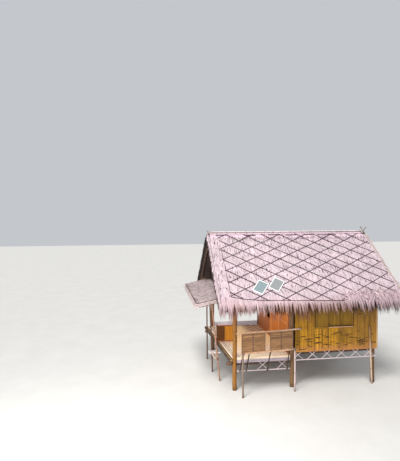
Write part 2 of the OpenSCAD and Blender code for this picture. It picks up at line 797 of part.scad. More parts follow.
module railing_struts() color("saddlebrown") for (x = strut_x)
    railing_strut(x, strut_foot(x));

module railing_rails() color("rosybrown") on_railing() {
    translate([top_rail_x, 0, top_rail_z]) pole_x(rail_d, top_rail_len);
    translate([low_rail_x, 0, low_rail_z]) pole_x(rail_d, low_rail_len);
}

module railing_panels() color("tan") on_railing() for (x = panel_x)
    translate([x, -panel_t / 2, low_rail_z + rail_d / 2 + seat])
        cube([panel_w, panel_t, top_rail_z - low_rail_z - rail_d - 2 * seat]);

// Entry screen and step
screen_x = floor_left(screen_y - screen_pole_d);
module entry_screen_poles() color("firebrick") {
    for (x = [screen_x + screen_pole_d / 2, screen_x + screen_w - screen_pole_d / 2])
        translate([x, screen_y, veranda_floor_z]) pole_z(screen_pole_d, screen_h);
    for (z = [screen_pole_d, screen_h - screen_pole_d])
        translate([screen_x, screen_y - screen_pole_d - seat, veranda_floor_z + z])
            pole_x(screen_pole_d, screen_w);
}

module entry_screen() color("goldenrod")
    translate([screen_x, screen_y - screen_pole_d / 2 - seat - screen_t,
            veranda_floor_z + 1.5 * screen_pole_d + seat])
        cube([screen_w, screen_t, screen_h - 3 * screen_pole_d - 2 * seat]);

// The step lies on two bearers that clamp the first two side posts
bearer_z = step_z - step_t - bearer_d / 2 - seat;
function on_side_post(i, z) = let (foot = [side_post_feet[i][0], side_post_feet[i][1], 0])
    foot + side_post_run(foot) * z / side_post_run(foot)[2];
bearer_from = on_side_post(0, bearer_z);
bearer_run = on_side_post(1, bearer_z) - bearer_from;
// The first side post leans, so it is wider where it is clamped
post_lean = side_post_run([side_post_feet[0][0], side_post_feet[0][1], 0]);
bearer_side = (side_post_d + bearer_d + 2 * seat) / 2 * norm(post_lean) / post_lean[2];

module entry_step() color("wheat")
    translate([-step_out - step_w / 2,
            on_side_post(1, step_z)[1] - side_post_d / 2 - 2 * seat - step_depth,
            step_z - step_t])
        cube([step_w, step_depth, step_t]);

module entry_step_bearers() color("peru") translate(bearer_from)
    rotate(atan2(-bearer_run[0], bearer_run[1])) for (x = [-bearer_side, bearer_side])
        translate([x, -side_post_d, 0])
            pole_y(bearer_d, norm(bearer_run) + 2 * side_post_d);

// Two small solar panels lie on the lattice
module solar_panels() color("slategray") on_front() for (at = solar_at)
    translate([at[0], -at[1], strip_t + 2 * seat]) rotate(solar_turn)
        translate([-solar_w / 2, -solar_len / 2, 0]) cube([solar_w, solar_len, solar_t]);

posts();
railing_props();
leaning_prop();
floor_beams();
floor_joists();
veranda_floor();
room_floor();
veranda_fascia();
veranda_kerb();
plates();
rafters();
ridge_pole();
front_thatch();
back_thatch();
front_fringe();
back_fringe();
ridge_cap();
ridge_trim_poles();
gable_poles();
front_lattice();
back_lattice();
gables();
pent_thatch();
pent_poles();
side_posts();
front_wall();
back_wall();
right_wall();
left_wall_base();
left_wall_front();
left_wall_over_door();
left_wall_back();
window_frames();
window_shutters();
door_frame();
door_leaf_front();
door_leaf_back();
skirts();
railing_struts();
railing_rails();
railing_panels();
entry_screen();
entry_screen_poles();
entry_step();
entry_step_bearers();
solar_panels();
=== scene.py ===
# Bamboo hut on stilts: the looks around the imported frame.
# Metres, +Z up. X runs along the ridge, Y from front to back, as in the frame.
import math
import random

import bpy
import numpy as np
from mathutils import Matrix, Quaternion, Vector


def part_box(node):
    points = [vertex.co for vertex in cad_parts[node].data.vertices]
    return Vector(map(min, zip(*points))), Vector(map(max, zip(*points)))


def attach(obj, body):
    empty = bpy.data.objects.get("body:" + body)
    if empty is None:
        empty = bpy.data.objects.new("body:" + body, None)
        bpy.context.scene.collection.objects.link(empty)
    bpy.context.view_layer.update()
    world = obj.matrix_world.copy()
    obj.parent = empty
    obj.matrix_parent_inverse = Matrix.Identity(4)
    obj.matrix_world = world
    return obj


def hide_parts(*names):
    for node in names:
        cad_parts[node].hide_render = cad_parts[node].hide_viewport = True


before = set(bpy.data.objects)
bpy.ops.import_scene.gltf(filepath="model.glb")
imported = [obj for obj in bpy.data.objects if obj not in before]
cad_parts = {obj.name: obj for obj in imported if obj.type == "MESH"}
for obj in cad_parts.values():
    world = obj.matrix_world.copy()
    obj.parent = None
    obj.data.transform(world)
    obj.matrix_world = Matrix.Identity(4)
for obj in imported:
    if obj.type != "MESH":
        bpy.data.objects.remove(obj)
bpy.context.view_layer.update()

# Driving values, as in the part
ROOF_SLOPE = math.radians(38.4)
PENT_SLOPE = math.radians(12)
RAIL_TURN = math.radians(7)
SOLAR_TURN = math.radians(-36)
THATCH_T = 0.14
CAP_T = 0.025
STRIP_LEFT, STRIP_RIGHT, STRIP_EAVE, STRIP_TOP = 0.33, 0.08, 0.12, 0.09
STRIP_W = 0.024
FIRST_CROSSING = (-0.26, 0.442)
RISE, FALL = (0.329, 0.175), (0.367, -0.27)
LEAF_BAR, LEAF_PANEL_T, LEAF_RAIL_Z, PIVOT_LEN = 0.036, 0.012, 0.56, 0.022

# Tables along the ridge, as pairs of x and value
# How far down the slope the lowest strip lies, and the x where it ends
HEM = ((-0.18, 2.57), (0.20, 2.68), (0.65, 2.745), (1.35, 2.78), (2.0, 2.80), (2.7, 2.83),
       (3.05, 2.83), (3.2, 2.66), (3.6, 2.62), (4.73, 2.60))
HEM_END = 3.08
# Length of the hanging leaf ends
HANG = ((-0.5, 0.47), (-0.12, 0.47), (0.1, 0.43), (0.3, 0.38), (0.9, 0.39), (1.5, 0.41),
        (2.3, 0.40), (2.8, 0.42), (3.4, 0.44), (4.0, 0.44), (4.8, 0.44))
# How far they are drawn together in tufts
GATHER = ((-0.5, 0.45), (0.0, 0.55), (0.9, 0.6), (1.2, 0.8), (4.8, 0.8))
# Share of them that is missing
SPARSE = ((2.85, 0.0), (3.3, 0.6), (4.8, 0.5))
# How brown their tips are
BROWN = ((-0.3, 0.2), (0.1, 0.8), (0.3, 0.35), (0.9, 0.5), (1.2, 1.0), (2.8, 0.9), (3.6, 0.5),
         (4.8, 0.4))

# Loose strands under the eave: from, to, number, how far out
STRANDS = ((-0.22, 0.0, 16, 0.17), (0.95, 1.20, 26, 0.06), (1.72, 2.02, 36, 0.06))
# Short dark laths on the ridge: left and right end
RIDGE_LATHS = ((-0.20, 0.13), (0.72, 1.08), (1.50, 1.85), (2.05, 2.40), (2.70, 2.95), (3.10, 3.75))
# Layers of the fringe: start on the slope, height over it, final slope, length, gathering
OUTER_ROWS = ((0.22, 0.008, 1.12, 1.0, 1.0), (0.12, 0.004, 1.16, 0.97, 1.0),
              (0.03, -0.012, 1.2, 1.0, 1.0), (0.03, -0.03, 1.24, 0.95, 0.9))
# Inner rows are near-black leaves: painted shade behind the outer tips
INNER_ROWS = ((0.04, -0.06, 1.3, 0.92, 0.3), (0.04, -0.09, 1.38, 0.9, 0.0),
              (0.04, -0.12, 1.45, 0.85, 0.0))

# Thickness of the roof's leaves, and of those on the ridge and the pent roof
LEAF_T, THICK_LEAF_T = 0.003, 0.004
# Courses of leaves: how far down the first one ends, and their pitch
FIRST_COURSE, COURSE_PITCH = 0.3, 0.08
PENT_FIRST_COURSE, PENT_COURSE_PITCH = 0.12, 0.1
# Pitch of the leaf ends along the gable edges of the roof and the sides of the pent roof
RAKE_PITCH, PENT_SIDE_PITCH = 0.011, 0.010
# Leaves this far from the middle of a tuft hang shortest
TUFT_REACH = 0.05
# The lattice: where the ridge cap ends on the slope, how far strips rise over it, and how many
# strips are tried to each side of the first crossing
CAP_END, CAP_RISE, MOST_STRIPS = 0.37, 0.036, 40
# Its strips: thickness, crown, length of a step, share of dark places
STRIP_T, STRIP_CROWN, STRIP_STEP, STRIP_SPOTS = 0.008, 0.004, 0.04, 0.18
# Woven walls: width of a strip, shortest piece of one, lengths of the long dark marks
WALL_PITCH, SHORTEST_STRIP, LONG_MARKS = 0.038, 0.01, (0.07, 0.19)
CULM_TAPER = 0.05
STEP_CULMS = 7
SOLAR_RIM = 0.022
# A lashing's cord: radius, and rings in one turn
CORD_R, CORD_RINGS = 0.0035, 18
QUARTERS = (0, 0.25, 0.5, 0.75, 1)

# Camera, fitted to the photo of 400 by 461 pixels
FOCAL_PX = 394.9
LONG_SIDE_PX = 461
SENSOR = 36
CAMERA_AT = Vector((-2.266, -10.561, 4.767))
CAMERA_YAW, CAMERA_PITCH, CAMERA_ROLL = (math.radians(a) for a in (7.42, -1.87, -0.24))

# Places read from the frame
THATCH_LO, THATCH_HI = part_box("front_thatch")
ROOF_X0, ROOF_X1 = THATCH_LO.x, THATCH_HI.x
MID_Y, RIDGE_Z = THATCH_HI.y, THATCH_HI.z
ROOF_C, ROOF_S = math.cos(ROOF_SLOPE), math.sin(ROOF_SLOPE)
ROOF_LEN = (THATCH_HI.y - THATCH_LO.y) / ROOF_C
UNDER_RIDGE_Z = RIDGE_Z - THATCH_T / ROOF_C
FASCIA_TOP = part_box("veranda_fascia")[1].z
PENT_LO, PENT_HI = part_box("pent_thatch")
WINDOW_LO, WINDOW_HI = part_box("window_frames")

X, Y, Z = Vector((1, 0, 0)), Vector((0, 1, 0)), Vector((0, 0, 1))


# Materials

M = {}
WAYS = {"X": X, "Y": Y, "Z": Z}
GRAIN, KNOT = "grain", "knot"
STRETCH = {"x": (4, 90, 90), "y": (90, 4, 90), "z": (90, 90, 4), GRAIN: (110, 5, 1)}


class Paint:
    """A material in M, with short calls for its nodes."""

    def __init__(self, name):
        M[name] = bpy.data.materials.new(name)
        M[name].use_nodes = True
        self.tree = M[name].node_tree

    def node(self, kind, inputs=None, **settings):
        made = self.tree.nodes.new("ShaderNode" + kind)
        for key, value in settings.items():
            setattr(made, key, value)
        for key, value in (inputs or {}).items():
            self.put(made.inputs[key], value)
        return made

    def put(self, socket, value):
        if isinstance(value, bpy.types.NodeSocket):
            self.tree.links.new(value, socket)
        else:
            socket.default_value = value

    def place(self):
        return self.node("TexCoord").outputs["Object"]

    def grain(self):
        return self.node("Attribute", attribute_name=GRAIN).outputs["Vector"]

    def math(self, operation, a, b):
        made = self.node("Math", operation=operation)
        self.put(made.inputs[0], a)
        self.put(made.inputs[1], b)
        return made.outputs[0]

    def along(self, vector, way):
        """How far a vector reaches along a direction."""
        made = self.node("VectorMath", operation="DOT_PRODUCT")
        self.put(made.inputs[0], vector)
        self.put(made.inputs[1], WAYS.get(way, way))
        return made.outputs["Value"]

    def noise(self, vector, scale, detail=6.0, rough=0.6):
        return self.node("TexNoise", {"Vector": vector, "Scale": scale, "Detail": detail,
                                      "Roughness": rough}).outputs["Fac"]

    def streaks(self, vector, stretch, rough):
        made = self.node("Mapping", {"Vector": vector, "Scale": stretch})
        return self.noise(made.outputs["Vector"], 1.0, rough=rough)

    def spread(self, value, low, high, start=0.0, end=1.0):
        """Low where the value is at start, high where it is at end."""
        return self.node("MapRange", {"Value": value, "From Min": start, "From Max": end,
                                      "To Min": low, "To Max": high}).outputs["Result"]

    def ramp(self, value, stops, constant=False):
        made = self.node("ValToRGB", {"Fac": value})
        elements = made.color_ramp.elements
        while len(elements) < len(stops):
            elements.new(0.5)
        for element, (place, colour) in zip(elements, stops):
            element.position = place
            element.color = (*colour, 1.0)
        if constant:
            made.color_ramp.interpolation = "CONSTANT"
        return made.outputs["Color"]

    def mix(self, fac, a, b, kind="MIX"):
        made = self.node("Mix", data_type="RGBA", blend_type=kind)
        self.put(made.inputs["Factor"], fac)
        for name, value in (("A", a), ("B", b)):
            socket = [s for s in made.inputs if s.name == name and s.type == "RGBA"][0]
            self.put(socket, value if isinstance(value, bpy.types.NodeSocket) else (*value, 1.0))
        return [s for s in made.outputs if s.type == "RGBA"][0]

    def bright(self, colour, value):
        return self.node("HueSaturation", {"Color": colour, "Value": value}).outputs["Color"]

    def finish(self, colour, rough, height=None, lift=0.002):
        shader = self.tree.nodes["Principled BSDF"]
        self.put(shader.inputs["Base Color"], colour)
        self.put(shader.inputs["Roughness"], rough)
        shader.inputs["Specular IOR Level"].default_value = 0.3
        if height is not None:
            bump = self.node("Bump", {"Height": height, "Distance": lift, "Strength": 0.8})
            self.put(shader.inputs["Normal"], bump.outputs["Normal"])


def fibre(name, stops, along=GRAIN, tone=0.25, lift=0.0015, palette=None, weather=None,
          knot=None, fine=1.0, over=(), patches=(0.88, 1.09)):
    """Plant fibre: streaks along one axis, patches of weather, and a tone for each piece.

    over lists tints that grow along a direction: direction, start, end, colour, amount."""
    paint = Paint(name)
    place, grain = paint.place(), paint.grain()
    streak = paint.streaks(grain if along == GRAIN else place,
                           [v * fine for v in STRETCH[along]], 0.65)
    patch = paint.noise(place, 1.7, 5.0)
    colour = paint.ramp(streak, stops)
    if along == GRAIN:
        seed = paint.along(grain, "Z")
        chance = paint.node("TexWhiteNoise", {"W": seed}, noise_dimensions="1D").outputs["Value"]
        if palette:
            colour = paint.mix(1.0, colour, paint.ramp(chance, palette, True), "MULTIPLY")
        colour = paint.bright(colour, paint.spread(chance, 1 - tone, 1 + tone))
    colour = paint.bright(colour, paint.spread(patch, *patches, 0.3, 0.7))
    if weather:
        spots = paint.noise(place, 5.5, 8.0, 0.72)
        colour = paint.mix(paint.spread(spots, 0.0, 0.75, 0.52, 0.72), colour, weather)
    for way, start, end, tint, most in over:
        amount = paint.spread(paint.along(place, way), 0.0, most, start, end)
        colour = paint.mix(amount, colour, tint)
    if knot:
        at_knot = paint.node("Attribute", attribute_name=KNOT).outputs["Fac"]
        colour = paint.mix(at_knot, colour, knot)
    paint.finish(colour, paint.spread(streak, 0.5, 0.85), streak, lift)


def duo(name, dark, light, *along, **more):
    fibre(name, [(0.3, dark), (0.7, light)], *along, **more)


def wide_duo(name, dark, light, *along, **more):
    fibre(name, [(0.25, dark), (0.75, light)], *along, **more)


def trio(name, dark, mid, light, **more):
    fibre(name, [(0.25, dark), (0.5, mid), (0.75, light)], **more)


def bamboo(name, dark, mid, light, knot=(0.16, 0.09, 0.05), **more):
    trio(name, dark, mid, light, knot=knot, **more)


def solar_cells(name):
    """Dusty cells behind glass: teal on the left panel, grey on the right one."""
    paint = Paint(name)
    place = paint.place()
    grid = paint.node("TexBrick", {
        "Vector": paint.grain(), "Scale": 1.0, "Mortar Size": 0.0018, "Brick Width": 0.0655,
        "Row Height": 0.069, "Color1": (0.17, 0.235, 0.265, 1), "Color2": (0.19, 0.255, 0.285, 1),
        "Mortar": (0.34, 0.39, 0.41, 1)}, offset=0.0)
    right = paint.math("GREATER_THAN", paint.along(place, "X"), 1.0)
    colour = paint.mix(paint.math("MULTIPLY", right, 0.8), grid.outputs["Color"],
                       (0.25, 0.255, 0.265))
    dust = paint.noise(place, 9.0)
    colour = paint.mix(paint.math("MULTIPLY", dust, 0.2), colour, (0.42, 0.42, 0.40))
    paint.finish(colour, paint.spread(dust, 0.25, 0.5), dust, 0.0004)


def painted_metal(name, colour):
    paint = Paint(name)
    wear = paint.noise(paint.place(), 40.0)
    tint = paint.ramp(wear, [(0.3, [v * 0.8 for v in colour]), (0.7, colour)])
    paint.finish(tint, paint.spread(wear, 0.3, 0.55), wear, 0.0003)


def checked_mat(name, dark, mid, light, front):
    """A woven floor: streaked slats, paler at the front as painted sunlight, darker checks at the
    back.
    """
    paint = Paint(name)
    place = paint.place()
    streak = paint.streaks(paint.grain(), STRETCH[GRAIN], 0.6)
    colour = paint.ramp(streak, [(0.3, mid), (0.7, light)])
    x, y = paint.along(place, "X"), paint.along(place, "Y")
    # Painted sunlight: the floor turns to the pale front colour towards the open front
    colour = paint.mix(paint.spread(y, 0.0, 0.92, 1.5, 0.6), colour, front)
    amount = paint.math("MULTIPLY", paint.spread(x, 0.0, 1.0, 0.95, 1.2),
                        paint.spread(y, 0.0, 0.8, 2.3, 2.6))
    checks = paint.node("TexChecker", {"Vector": place, "Scale": 9.0}).outputs["Fac"]
    for share in (0.5, checks):
        colour = paint.mix(paint.math("MULTIPLY", amount, share), colour, dark)
    paint.finish(colour, paint.spread(streak, 0.5, 0.8), streak, 0.001)


STREAKS = [(0.25, (0.70, 0.64, 0.67)), (0.5, (0.87, 0.83, 0.85)), (0.75, (1.0, 1.0, 1.0))]

# Leaves
fibre("thatch_leaf", STREAKS, tone=0.11, fine=1.4, patches=(0.80, 1.06),
      palette=[(0.0, (0.68, 0.58, 0.64)), (0.22, (0.76, 0.66, 0.71)), (0.45, (0.60, 0.50, 0.54)),
               (0.62, (0.77, 0.67, 0.71)), (0.80, (0.71, 0.58, 0.60)), (0.93, (0.30, 0.24, 0.27))],
      over=[((0.5, 0, 1), 2.95, 2.15, (0.40, 0.29, 0.34), 0.8)])
fibre("fringe_leaf", STREAKS, tone=0.14, knot=(0.27, 0.13, 0.075),
      palette=[(0.0, (0.60, 0.49, 0.54)), (0.3, (0.68, 0.56, 0.61)), (0.5, (0.50, 0.39, 0.43)),
               (0.66, (0.74, 0.63, 0.66)), (0.82, (0.38, 0.28, 0.30))],
      over=[((0.5, 0, 1), 2.95, 2.0, (0.40, 0.28, 0.32), 0.6),
            ("X", 2.9, 3.6, (0.44, 0.34, 0.42), 0.5)])
fibre("fluff_leaf", STREAKS, tone=0.2,
      palette=[(0.0, (0.80, 0.65, 0.69)), (0.4, (0.62, 0.48, 0.53)), (0.7, (0.88, 0.73, 0.76)),
               (0.88, (0.18, 0.10, 0.15))])
fibre("ridge_leaf", STREAKS, tone=0.2,
      palette=[(0.0, (0.80, 0.64, 0.72)), (0.35, (0.83, 0.69, 0.77)), (0.7, (0.72, 0.56, 0.64)),
               (0.93, (0.32, 0.19, 0.25))])
fibre("pent_leaf", STREAKS, tone=0.16,
      palette=[(0.0, (0.50, 0.43, 0.43)), (0.3, (0.64, 0.57, 0.57)), (0.6, (0.44, 0.36, 0.34)),
               (0.85, (0.56, 0.46, 0.47))])
# Near-black leaves of the inner fringe layers: painted shade behind and between the hanging tips
duo("painted_shade_leaf", (0.045, 0.019, 0.010), (0.12, 0.055, 0.028),
    over=[("X", 2.8, 4.0, (0.03, 0.014, 0.024), 0.85), ("X", 1.05, 0.75, (0.34, 0.22, 0.21), 0.7)])
# Near-black rake leaves: painted shade on the back slope's rake edge and under the rake edges
duo("rake_shade_leaf", (0.010, 0.007, 0.006), (0.035, 0.023, 0.022))
duo("strand", (0.10, 0.03, 0.022), (0.22, 0.09, 0.06), tone=0.3)
# thatch_bed is near black: painted shade on the roof's underside
duo("thatch_bed", (0.03, 0.02, 0.018), (0.09, 0.06, 0.058), "y", lift=0.006, fine=0.5)

# Walls, doors and windows
# woven: the dark tint that grows from Z 1.75 to 2.2 is painted shade under the eave
fibre("woven", [(0.2, (0.15, 0.056, 0.003)), (0.45, (0.355, 0.162, 0.008)),
                (0.75, (0.57, 0.302, 0.016))],
      tone=0.38, patches=(0.70, 1.18), weather=(0.19, 0.09, 0.018),
      over=[("Z", 1.75, 2.2, (0.085, 0.042, 0.003), 0.85),
            ("X", 2.9, 4.0, (0.20, 0.105, 0.03), 0.5), ("Z", 1.22, 1.0, (0.46, 0.19, 0.08), 0.6)])
duo("woven_back", (0.12, 0.05, 0.012), (0.28, 0.13, 0.03), "z")
duo("dash", (0.022, 0.009, 0.003), (0.07, 0.03, 0.008))
# shutter: the dark tint from Z 1.9 to 2.3 is painted shade under the eave
wide_duo("shutter", (0.15, 0.075, 0.006), (0.32, 0.17, 0.014), tone=0.2,
         over=[("Z", 1.9, 2.3, (0.10, 0.055, 0.006), 0.7)])
wide_duo("window_frame", (0.14, 0.07, 0.006), (0.31, 0.165, 0.016), "x")
wide_duo("sill", (0.40, 0.21, 0.12), (0.58, 0.36, 0.24))
trio("orange", (0.16, 0.040, 0.011), (0.26, 0.075, 0.017), (0.38, 0.135, 0.034), tone=0.2,
     over=[("Z", 1.9, 2.3, (0.34, 0.10, 0.03), 0.5)])
trio("door", (0.32, 0.082, 0.007), (0.44, 0.126, 0.011), (0.54, 0.185, 0.022), tone=0.1)
duo("orange_bar", (0.44, 0.13, 0.028), (0.68, 0.27, 0.08), "z")
wide_duo("pale_bar", (0.72, 0.29, 0.09), (0.86, 0.43, 0.17))
# gable and gable_back are near black: painted shade on the gable ends under the roof's overhang
wide_duo("gable", (0.014, 0.009, 0.008), (0.05, 0.032, 0.028))
duo("gable_back", (0.02, 0.012, 0.010), (0.06, 0.04, 0.03), "z")
# screen: the dark tint towards its left end is a painted shadow
wide_duo("screen", (0.36, 0.12, 0.010), (0.72, 0.32, 0.025), tone=0.2,
         over=[("X", 0.13, 0.07, (0.045, 0.010, 0.003), 0.9)])

# Poles and strips
# post: the dark tints towards higher X, towards the top (Z 1.9 to 2.3) and towards the back (Y 1.5
# to 3.0) are painted shade; the weather spots are its own
bamboo("post", (0.17, 0.065, 0.010), (0.26, 0.11, 0.018), (0.37, 0.185, 0.034),
       weather=(0.16, 0.065, 0.02),
       over=[("X", 0.5, 1.3, (0.135, 0.085, 0.045), 0.8),
             ("Z", 1.9, 2.3, (0.09, 0.045, 0.025), 0.6), ("Y", 1.5, 3.0, (0.09, 0.05, 0.028), 0.8)])
bamboo("strut", (0.02, 0.011, 0.008), (0.045, 0.026, 0.018), (0.08, 0.05, 0.036))
bamboo("lean", (0.30, 0.21, 0.15), (0.44, 0.33, 0.26), (0.56, 0.44, 0.36),
       over=[("Z", 0.9, 1.3, (0.24, 0.125, 0.04), 0.85)])
bamboo("pale_pole", (0.34, 0.22, 0.17), (0.50, 0.36, 0.29), (0.62, 0.47, 0.40))
bamboo("prop", (0.34, 0.25, 0.24), (0.50, 0.40, 0.40), (0.62, 0.52, 0.52),
       over=[("X", 1.6, 1.0, (0.13, 0.09, 0.065), 0.9)])
bamboo("corner", (0.24, 0.14, 0.05), (0.36, 0.22, 0.09), (0.48, 0.32, 0.15))
bamboo("rail", (0.28, 0.15, 0.085), (0.42, 0.25, 0.15), (0.54, 0.36, 0.25),
       over=[("X", 1.2, 1.9, (0.60, 0.48, 0.43), 0.6)])
bamboo("trim", (0.66, 0.56, 0.58), (0.82, 0.72, 0.74), (0.92, 0.84, 0.85),
       over=[("Y", 1.685, 1.66, (0.48, 0.36, 0.42), 0.8),
             ("Y", 1.715, 1.74, (0.48, 0.36, 0.42), 0.8)])
# rake_pole: the near-black tint beyond Y 1.95, on the back slope's pole, is painted shade
bamboo("rake_pole", (0.25, 0.21, 0.18), (0.35, 0.31, 0.27), (0.44, 0.40, 0.35),
       over=[("X", 0.6, 0.0, (0.46, 0.37, 0.41), 0.75),
             ("Y", 1.75, 1.95, (0.06, 0.042, 0.04), 0.92)])
bamboo("dark_pole", (0.045, 0.024, 0.018), (0.09, 0.05, 0.036), (0.20, 0.125, 0.09))
bamboo("strip", (0.028, 0.013, 0.024), (0.055, 0.028, 0.046), (0.105, 0.064, 0.09),
       knot=(0.035, 0.02, 0.03), tone=0.4)
bamboo("red_pole", (0.22, 0.055, 0.024), (0.36, 0.11, 0.055), (0.50, 0.20, 0.11))
bamboo("side_pole", (0.23, 0.11, 0.075), (0.36, 0.19, 0.135), (0.48, 0.29, 0.22),
       over=[("Y", 0.9, 1.1, (0.085, 0.042, 0.03), 0.9)])
duo("cord", (0.10, 0.07, 0.05), (0.26, 0.18, 0.13))

# Floors, boards and panels
trio("slat", (0.08, 0.036, 0.016), (0.21, 0.11, 0.05), (0.33, 0.185, 0.09), tone=0.35)
wide_duo("skirt", (0.40, 0.33, 0.345), (0.62, 0.53, 0.55), "x")
# fascia: the cream band along its top is painted sunlight on the floor's edge; the weather spots
# are its own
wide_duo("fascia", (0.22, 0.17, 0.21), (0.52, 0.47, 0.52), "x", weather=(0.22, 0.17, 0.18),
         over=[("Z", FASCIA_TOP - 0.075, FASCIA_TOP - 0.035, (0.88, 0.70, 0.50), 0.9)])
wide_duo("kerb", (0.40, 0.40, 0.50), (0.60, 0.59, 0.70), "x")
wide_duo("pale_lath", (0.80, 0.62, 0.46), (0.95, 0.86, 0.76))
wide_duo("pale_board", (0.52, 0.46, 0.45), (0.78, 0.73, 0.73))
duo("floor_bed", (0.24, 0.14, 0.08), (0.42, 0.29, 0.18), "x")
# floor: its last colour is the painted sunlight at the front
checked_mat("floor", (0.13, 0.018, 0.026), (0.88, 0.55, 0.26), (0.98, 0.78, 0.48),
            (0.98, 0.83, 0.66))
solar_cells("cells")
painted_metal("frame_metal", (0.90, 0.91, 0.92))


# Mesh building

# The grain's third value picks a form's tone. It grows by this much from form to form.
TONE_STEP = 0.618


def link(name, data):
    """A new object in the scene for a mesh, a light or a camera."""
    made = bpy.data.objects.new(name, data)
    bpy.context.scene.collection.objects.link(made)
    return made


class Build:
    """Collects many small closed forms and makes them one mesh."""

    def __init__(self):
        self.points, self.faces, self.grain, self.knots = [], [], [], []
        self.count = 0

    def add(self, points, faces, grain, knots=None):
        base = len(self.points)
        self.points += points
        self.faces += [[base + i for i in face] for face in faces]
        self.grain += grain
        self.knots += knots or [0.0] * len(points)
        self.count += 1

    def rings(self, rings, across, along, knots=None):
        """Closed skin over rings of equal size. across and along place the grain."""
        n, last = len(rings[0]), len(rings) - 1
        seed = self.count * TONE_STEP + 0.37
        points = [p for ring in rings for p in ring]
        faces = [(i * n + j, i * n + (j + 1) % n, (i + 1) * n + (j + 1) % n, (i + 1) * n + j)
                 for i in range(last) for j in range(n)]
        faces += [tuple(range(n))[::-1], tuple(range(last * n, (last + 1) * n))]
        spread = [k for k in knots for _ in range(n)] if knots else None
        self.add(points, faces, [(a, b, seed) for b in along for a in across], spread)

    def done(self, name, material, slot, body="house", replaces=(), smooth=False):
        mesh = bpy.data.meshes.new(name)
        mesh.from_pydata(self.points, [], self.faces)
        for key, kind, field, values in ((GRAIN, "FLOAT_VECTOR", "vector", self.grain),
                                         (KNOT, "FLOAT", "value", self.knots)):
            flat = np.array(values, np.float32).ravel()
            mesh.attributes.new(key, kind, "POINT").data.foreach_set(field, flat)
        mesh.materials.append(M[material])
        mesh.shade_smooth() if smooth else mesh.shade_flat()
        piece = link(name, mesh)
        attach(piece, body)
        if replaces:
            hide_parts(*replaces)


def blade(build, points, side, up, widths, thick=LEAF_T, fade=None):
    """A leaf: three long faces that end in a point. fade is its knot value at each point."""
    seed = build.count * TONE_STEP + 0.11
    verts, grain = [], []
    length = 0.0
    for i, (p, w) in enumerate(zip(points[:-1], widths)):
        if i:
            length += (p - points[i - 1]).length
        verts += [p - side * w / 2, p + side * w / 2, p + up * thick]
        grain += [(0.0, length, seed), (w, length, seed), (w / 2, length, seed)]
    verts.append(points[-1])
    grain.append((0.0, length + (points[-1] - points[-2]).length, seed))
    faces = [(0, 2, 1)]
    for i in range(len(widths) - 1):
        a, b = 3 * i, 3 * i + 3
        faces += [(a, a + 1, b + 1, b), (a + 1, a + 2, b + 2, b + 1), (a + 2, a, b, b + 2)]
    a, tip = 3 * (len(widths) - 1), len(verts) - 1
    faces += [(a, a + 1, tip), (a + 1, a + 2, tip), (a + 2, a, tip)]
    knots = [f for f in fade[:-1] for _ in range(3)] + [fade[-1]] if fade else None
    build.add(verts, faces, grain, knots)


def leaf(build, path, side, up, width, tip=0.6, thick=LEAF_T):
    """A blade that keeps its width until near its point."""
    blade(build, path, side, up, (width, width, width * tip), thick)


def strip(build, points, side, up, width, thick, crown=0.0, knots=None):
    """A flat split strip through points, with a slightly crowned face."""
    half = width / 2
    outline = [(-half, 0), (half, 0), (half, thick), (0, thick + crown), (-half, thick)]
    rings = [[p + side * a + up * b for a, b in outline] for p in points]
    along = [0.0]
    for a, b in zip(points, points[1:]):
        along.append(along[-1] + (b - a).length)
    build.rings(rings, [a for a, _ in outline], along, knots)


def across_to(direction):
    """Two unit vectors at right angles to a direction."""
    helper = Z if abs(direction.z) < 0.9 else X
    side = direction.cross(helper).normalized()
    return side, direction.cross(side).normalized()


def culm(build, start, end, radius, rng, gap=0.3, sides=12, wobble=0.15):
    """A bamboo pole with raised nodes, a little crooked between its two ends."""
    length = (end - start).length
    direction = (end - start) / length
    side, up = across_to(direction)
    lip = min(0.012, 0.3 * radius + 0.004)
    # Place, swelling, and how dark it is
    stations = [(0.0, 1.0, 0.4)]
    at = gap * rng.uniform(0.3, 0.9)
    while at < length - 0.03:
        stations += [(at - 2 * lip, 0.98, 0.0), (at - lip * 0.5, 1.06, 0.35), (at, 1.0, 1.0),
                     (at + lip * 0.5, 1.05, 0.3), (at + 2 * lip, 0.98, 0.0)]
        at += gap * rng.uniform(0.8, 1.2)
    stations.append((length, 1.0, 0.4))
    phase = [rng.uniform(0, 6.28) for _ in range(2)]
    rings = []
    for place, swell, _ in stations:
        t = place / length
        hold = math.sin(math.pi * t) * wobble * radius
        centre = (start + direction * place + side * hold * math.sin(phase[0] + 5 * t)
                  + up * hold * math.sin(phase[1] + 4 * t))
        r = radius * swell * (1 - CULM_TAPER * t)
        ring = [centre + (side * math.cos(a) + up * math.sin(a)) * r
                for a in (2 * math.pi * k / sides for k in range(sides))]
        rings.append([Vector((p.x, p.y, max(p.z, 0.0))) for p in ring])
    across = [radius * min(k, sides - k) for k in range(sides)]
    build.rings(rings, across, [s[0] for s in stations], [s[2] for s in stations])


def solids_of(node):
    """The points of each separate solid in a node of the frame."""
    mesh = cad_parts[node].data
    co = np.array([v.co for v in mesh.vertices])
    keys, inverse = np.unique(np.round(co, 5), axis=0, return_inverse=True)
    inverse = inverse.ravel()
    root = list(range(len(keys)))

    def find(i):
        while root[i] != i:
            root[i] = root[root[i]]
            i = root[i]
        return i

    for face in mesh.polygons:
        first = find(inverse[face.vertices[0]])
        for v in face.vertices[1:]:
            root[find(inverse[v])] = first
    groups = {}
    for i in range(len(keys)):
        groups.setdefault(find(i), []).append(keys[i])
    solids = [np.array(g) for g in groups.values()]
    return sorted(solids, key=lambda s: tuple(np.round(s.mean(0), 4)))


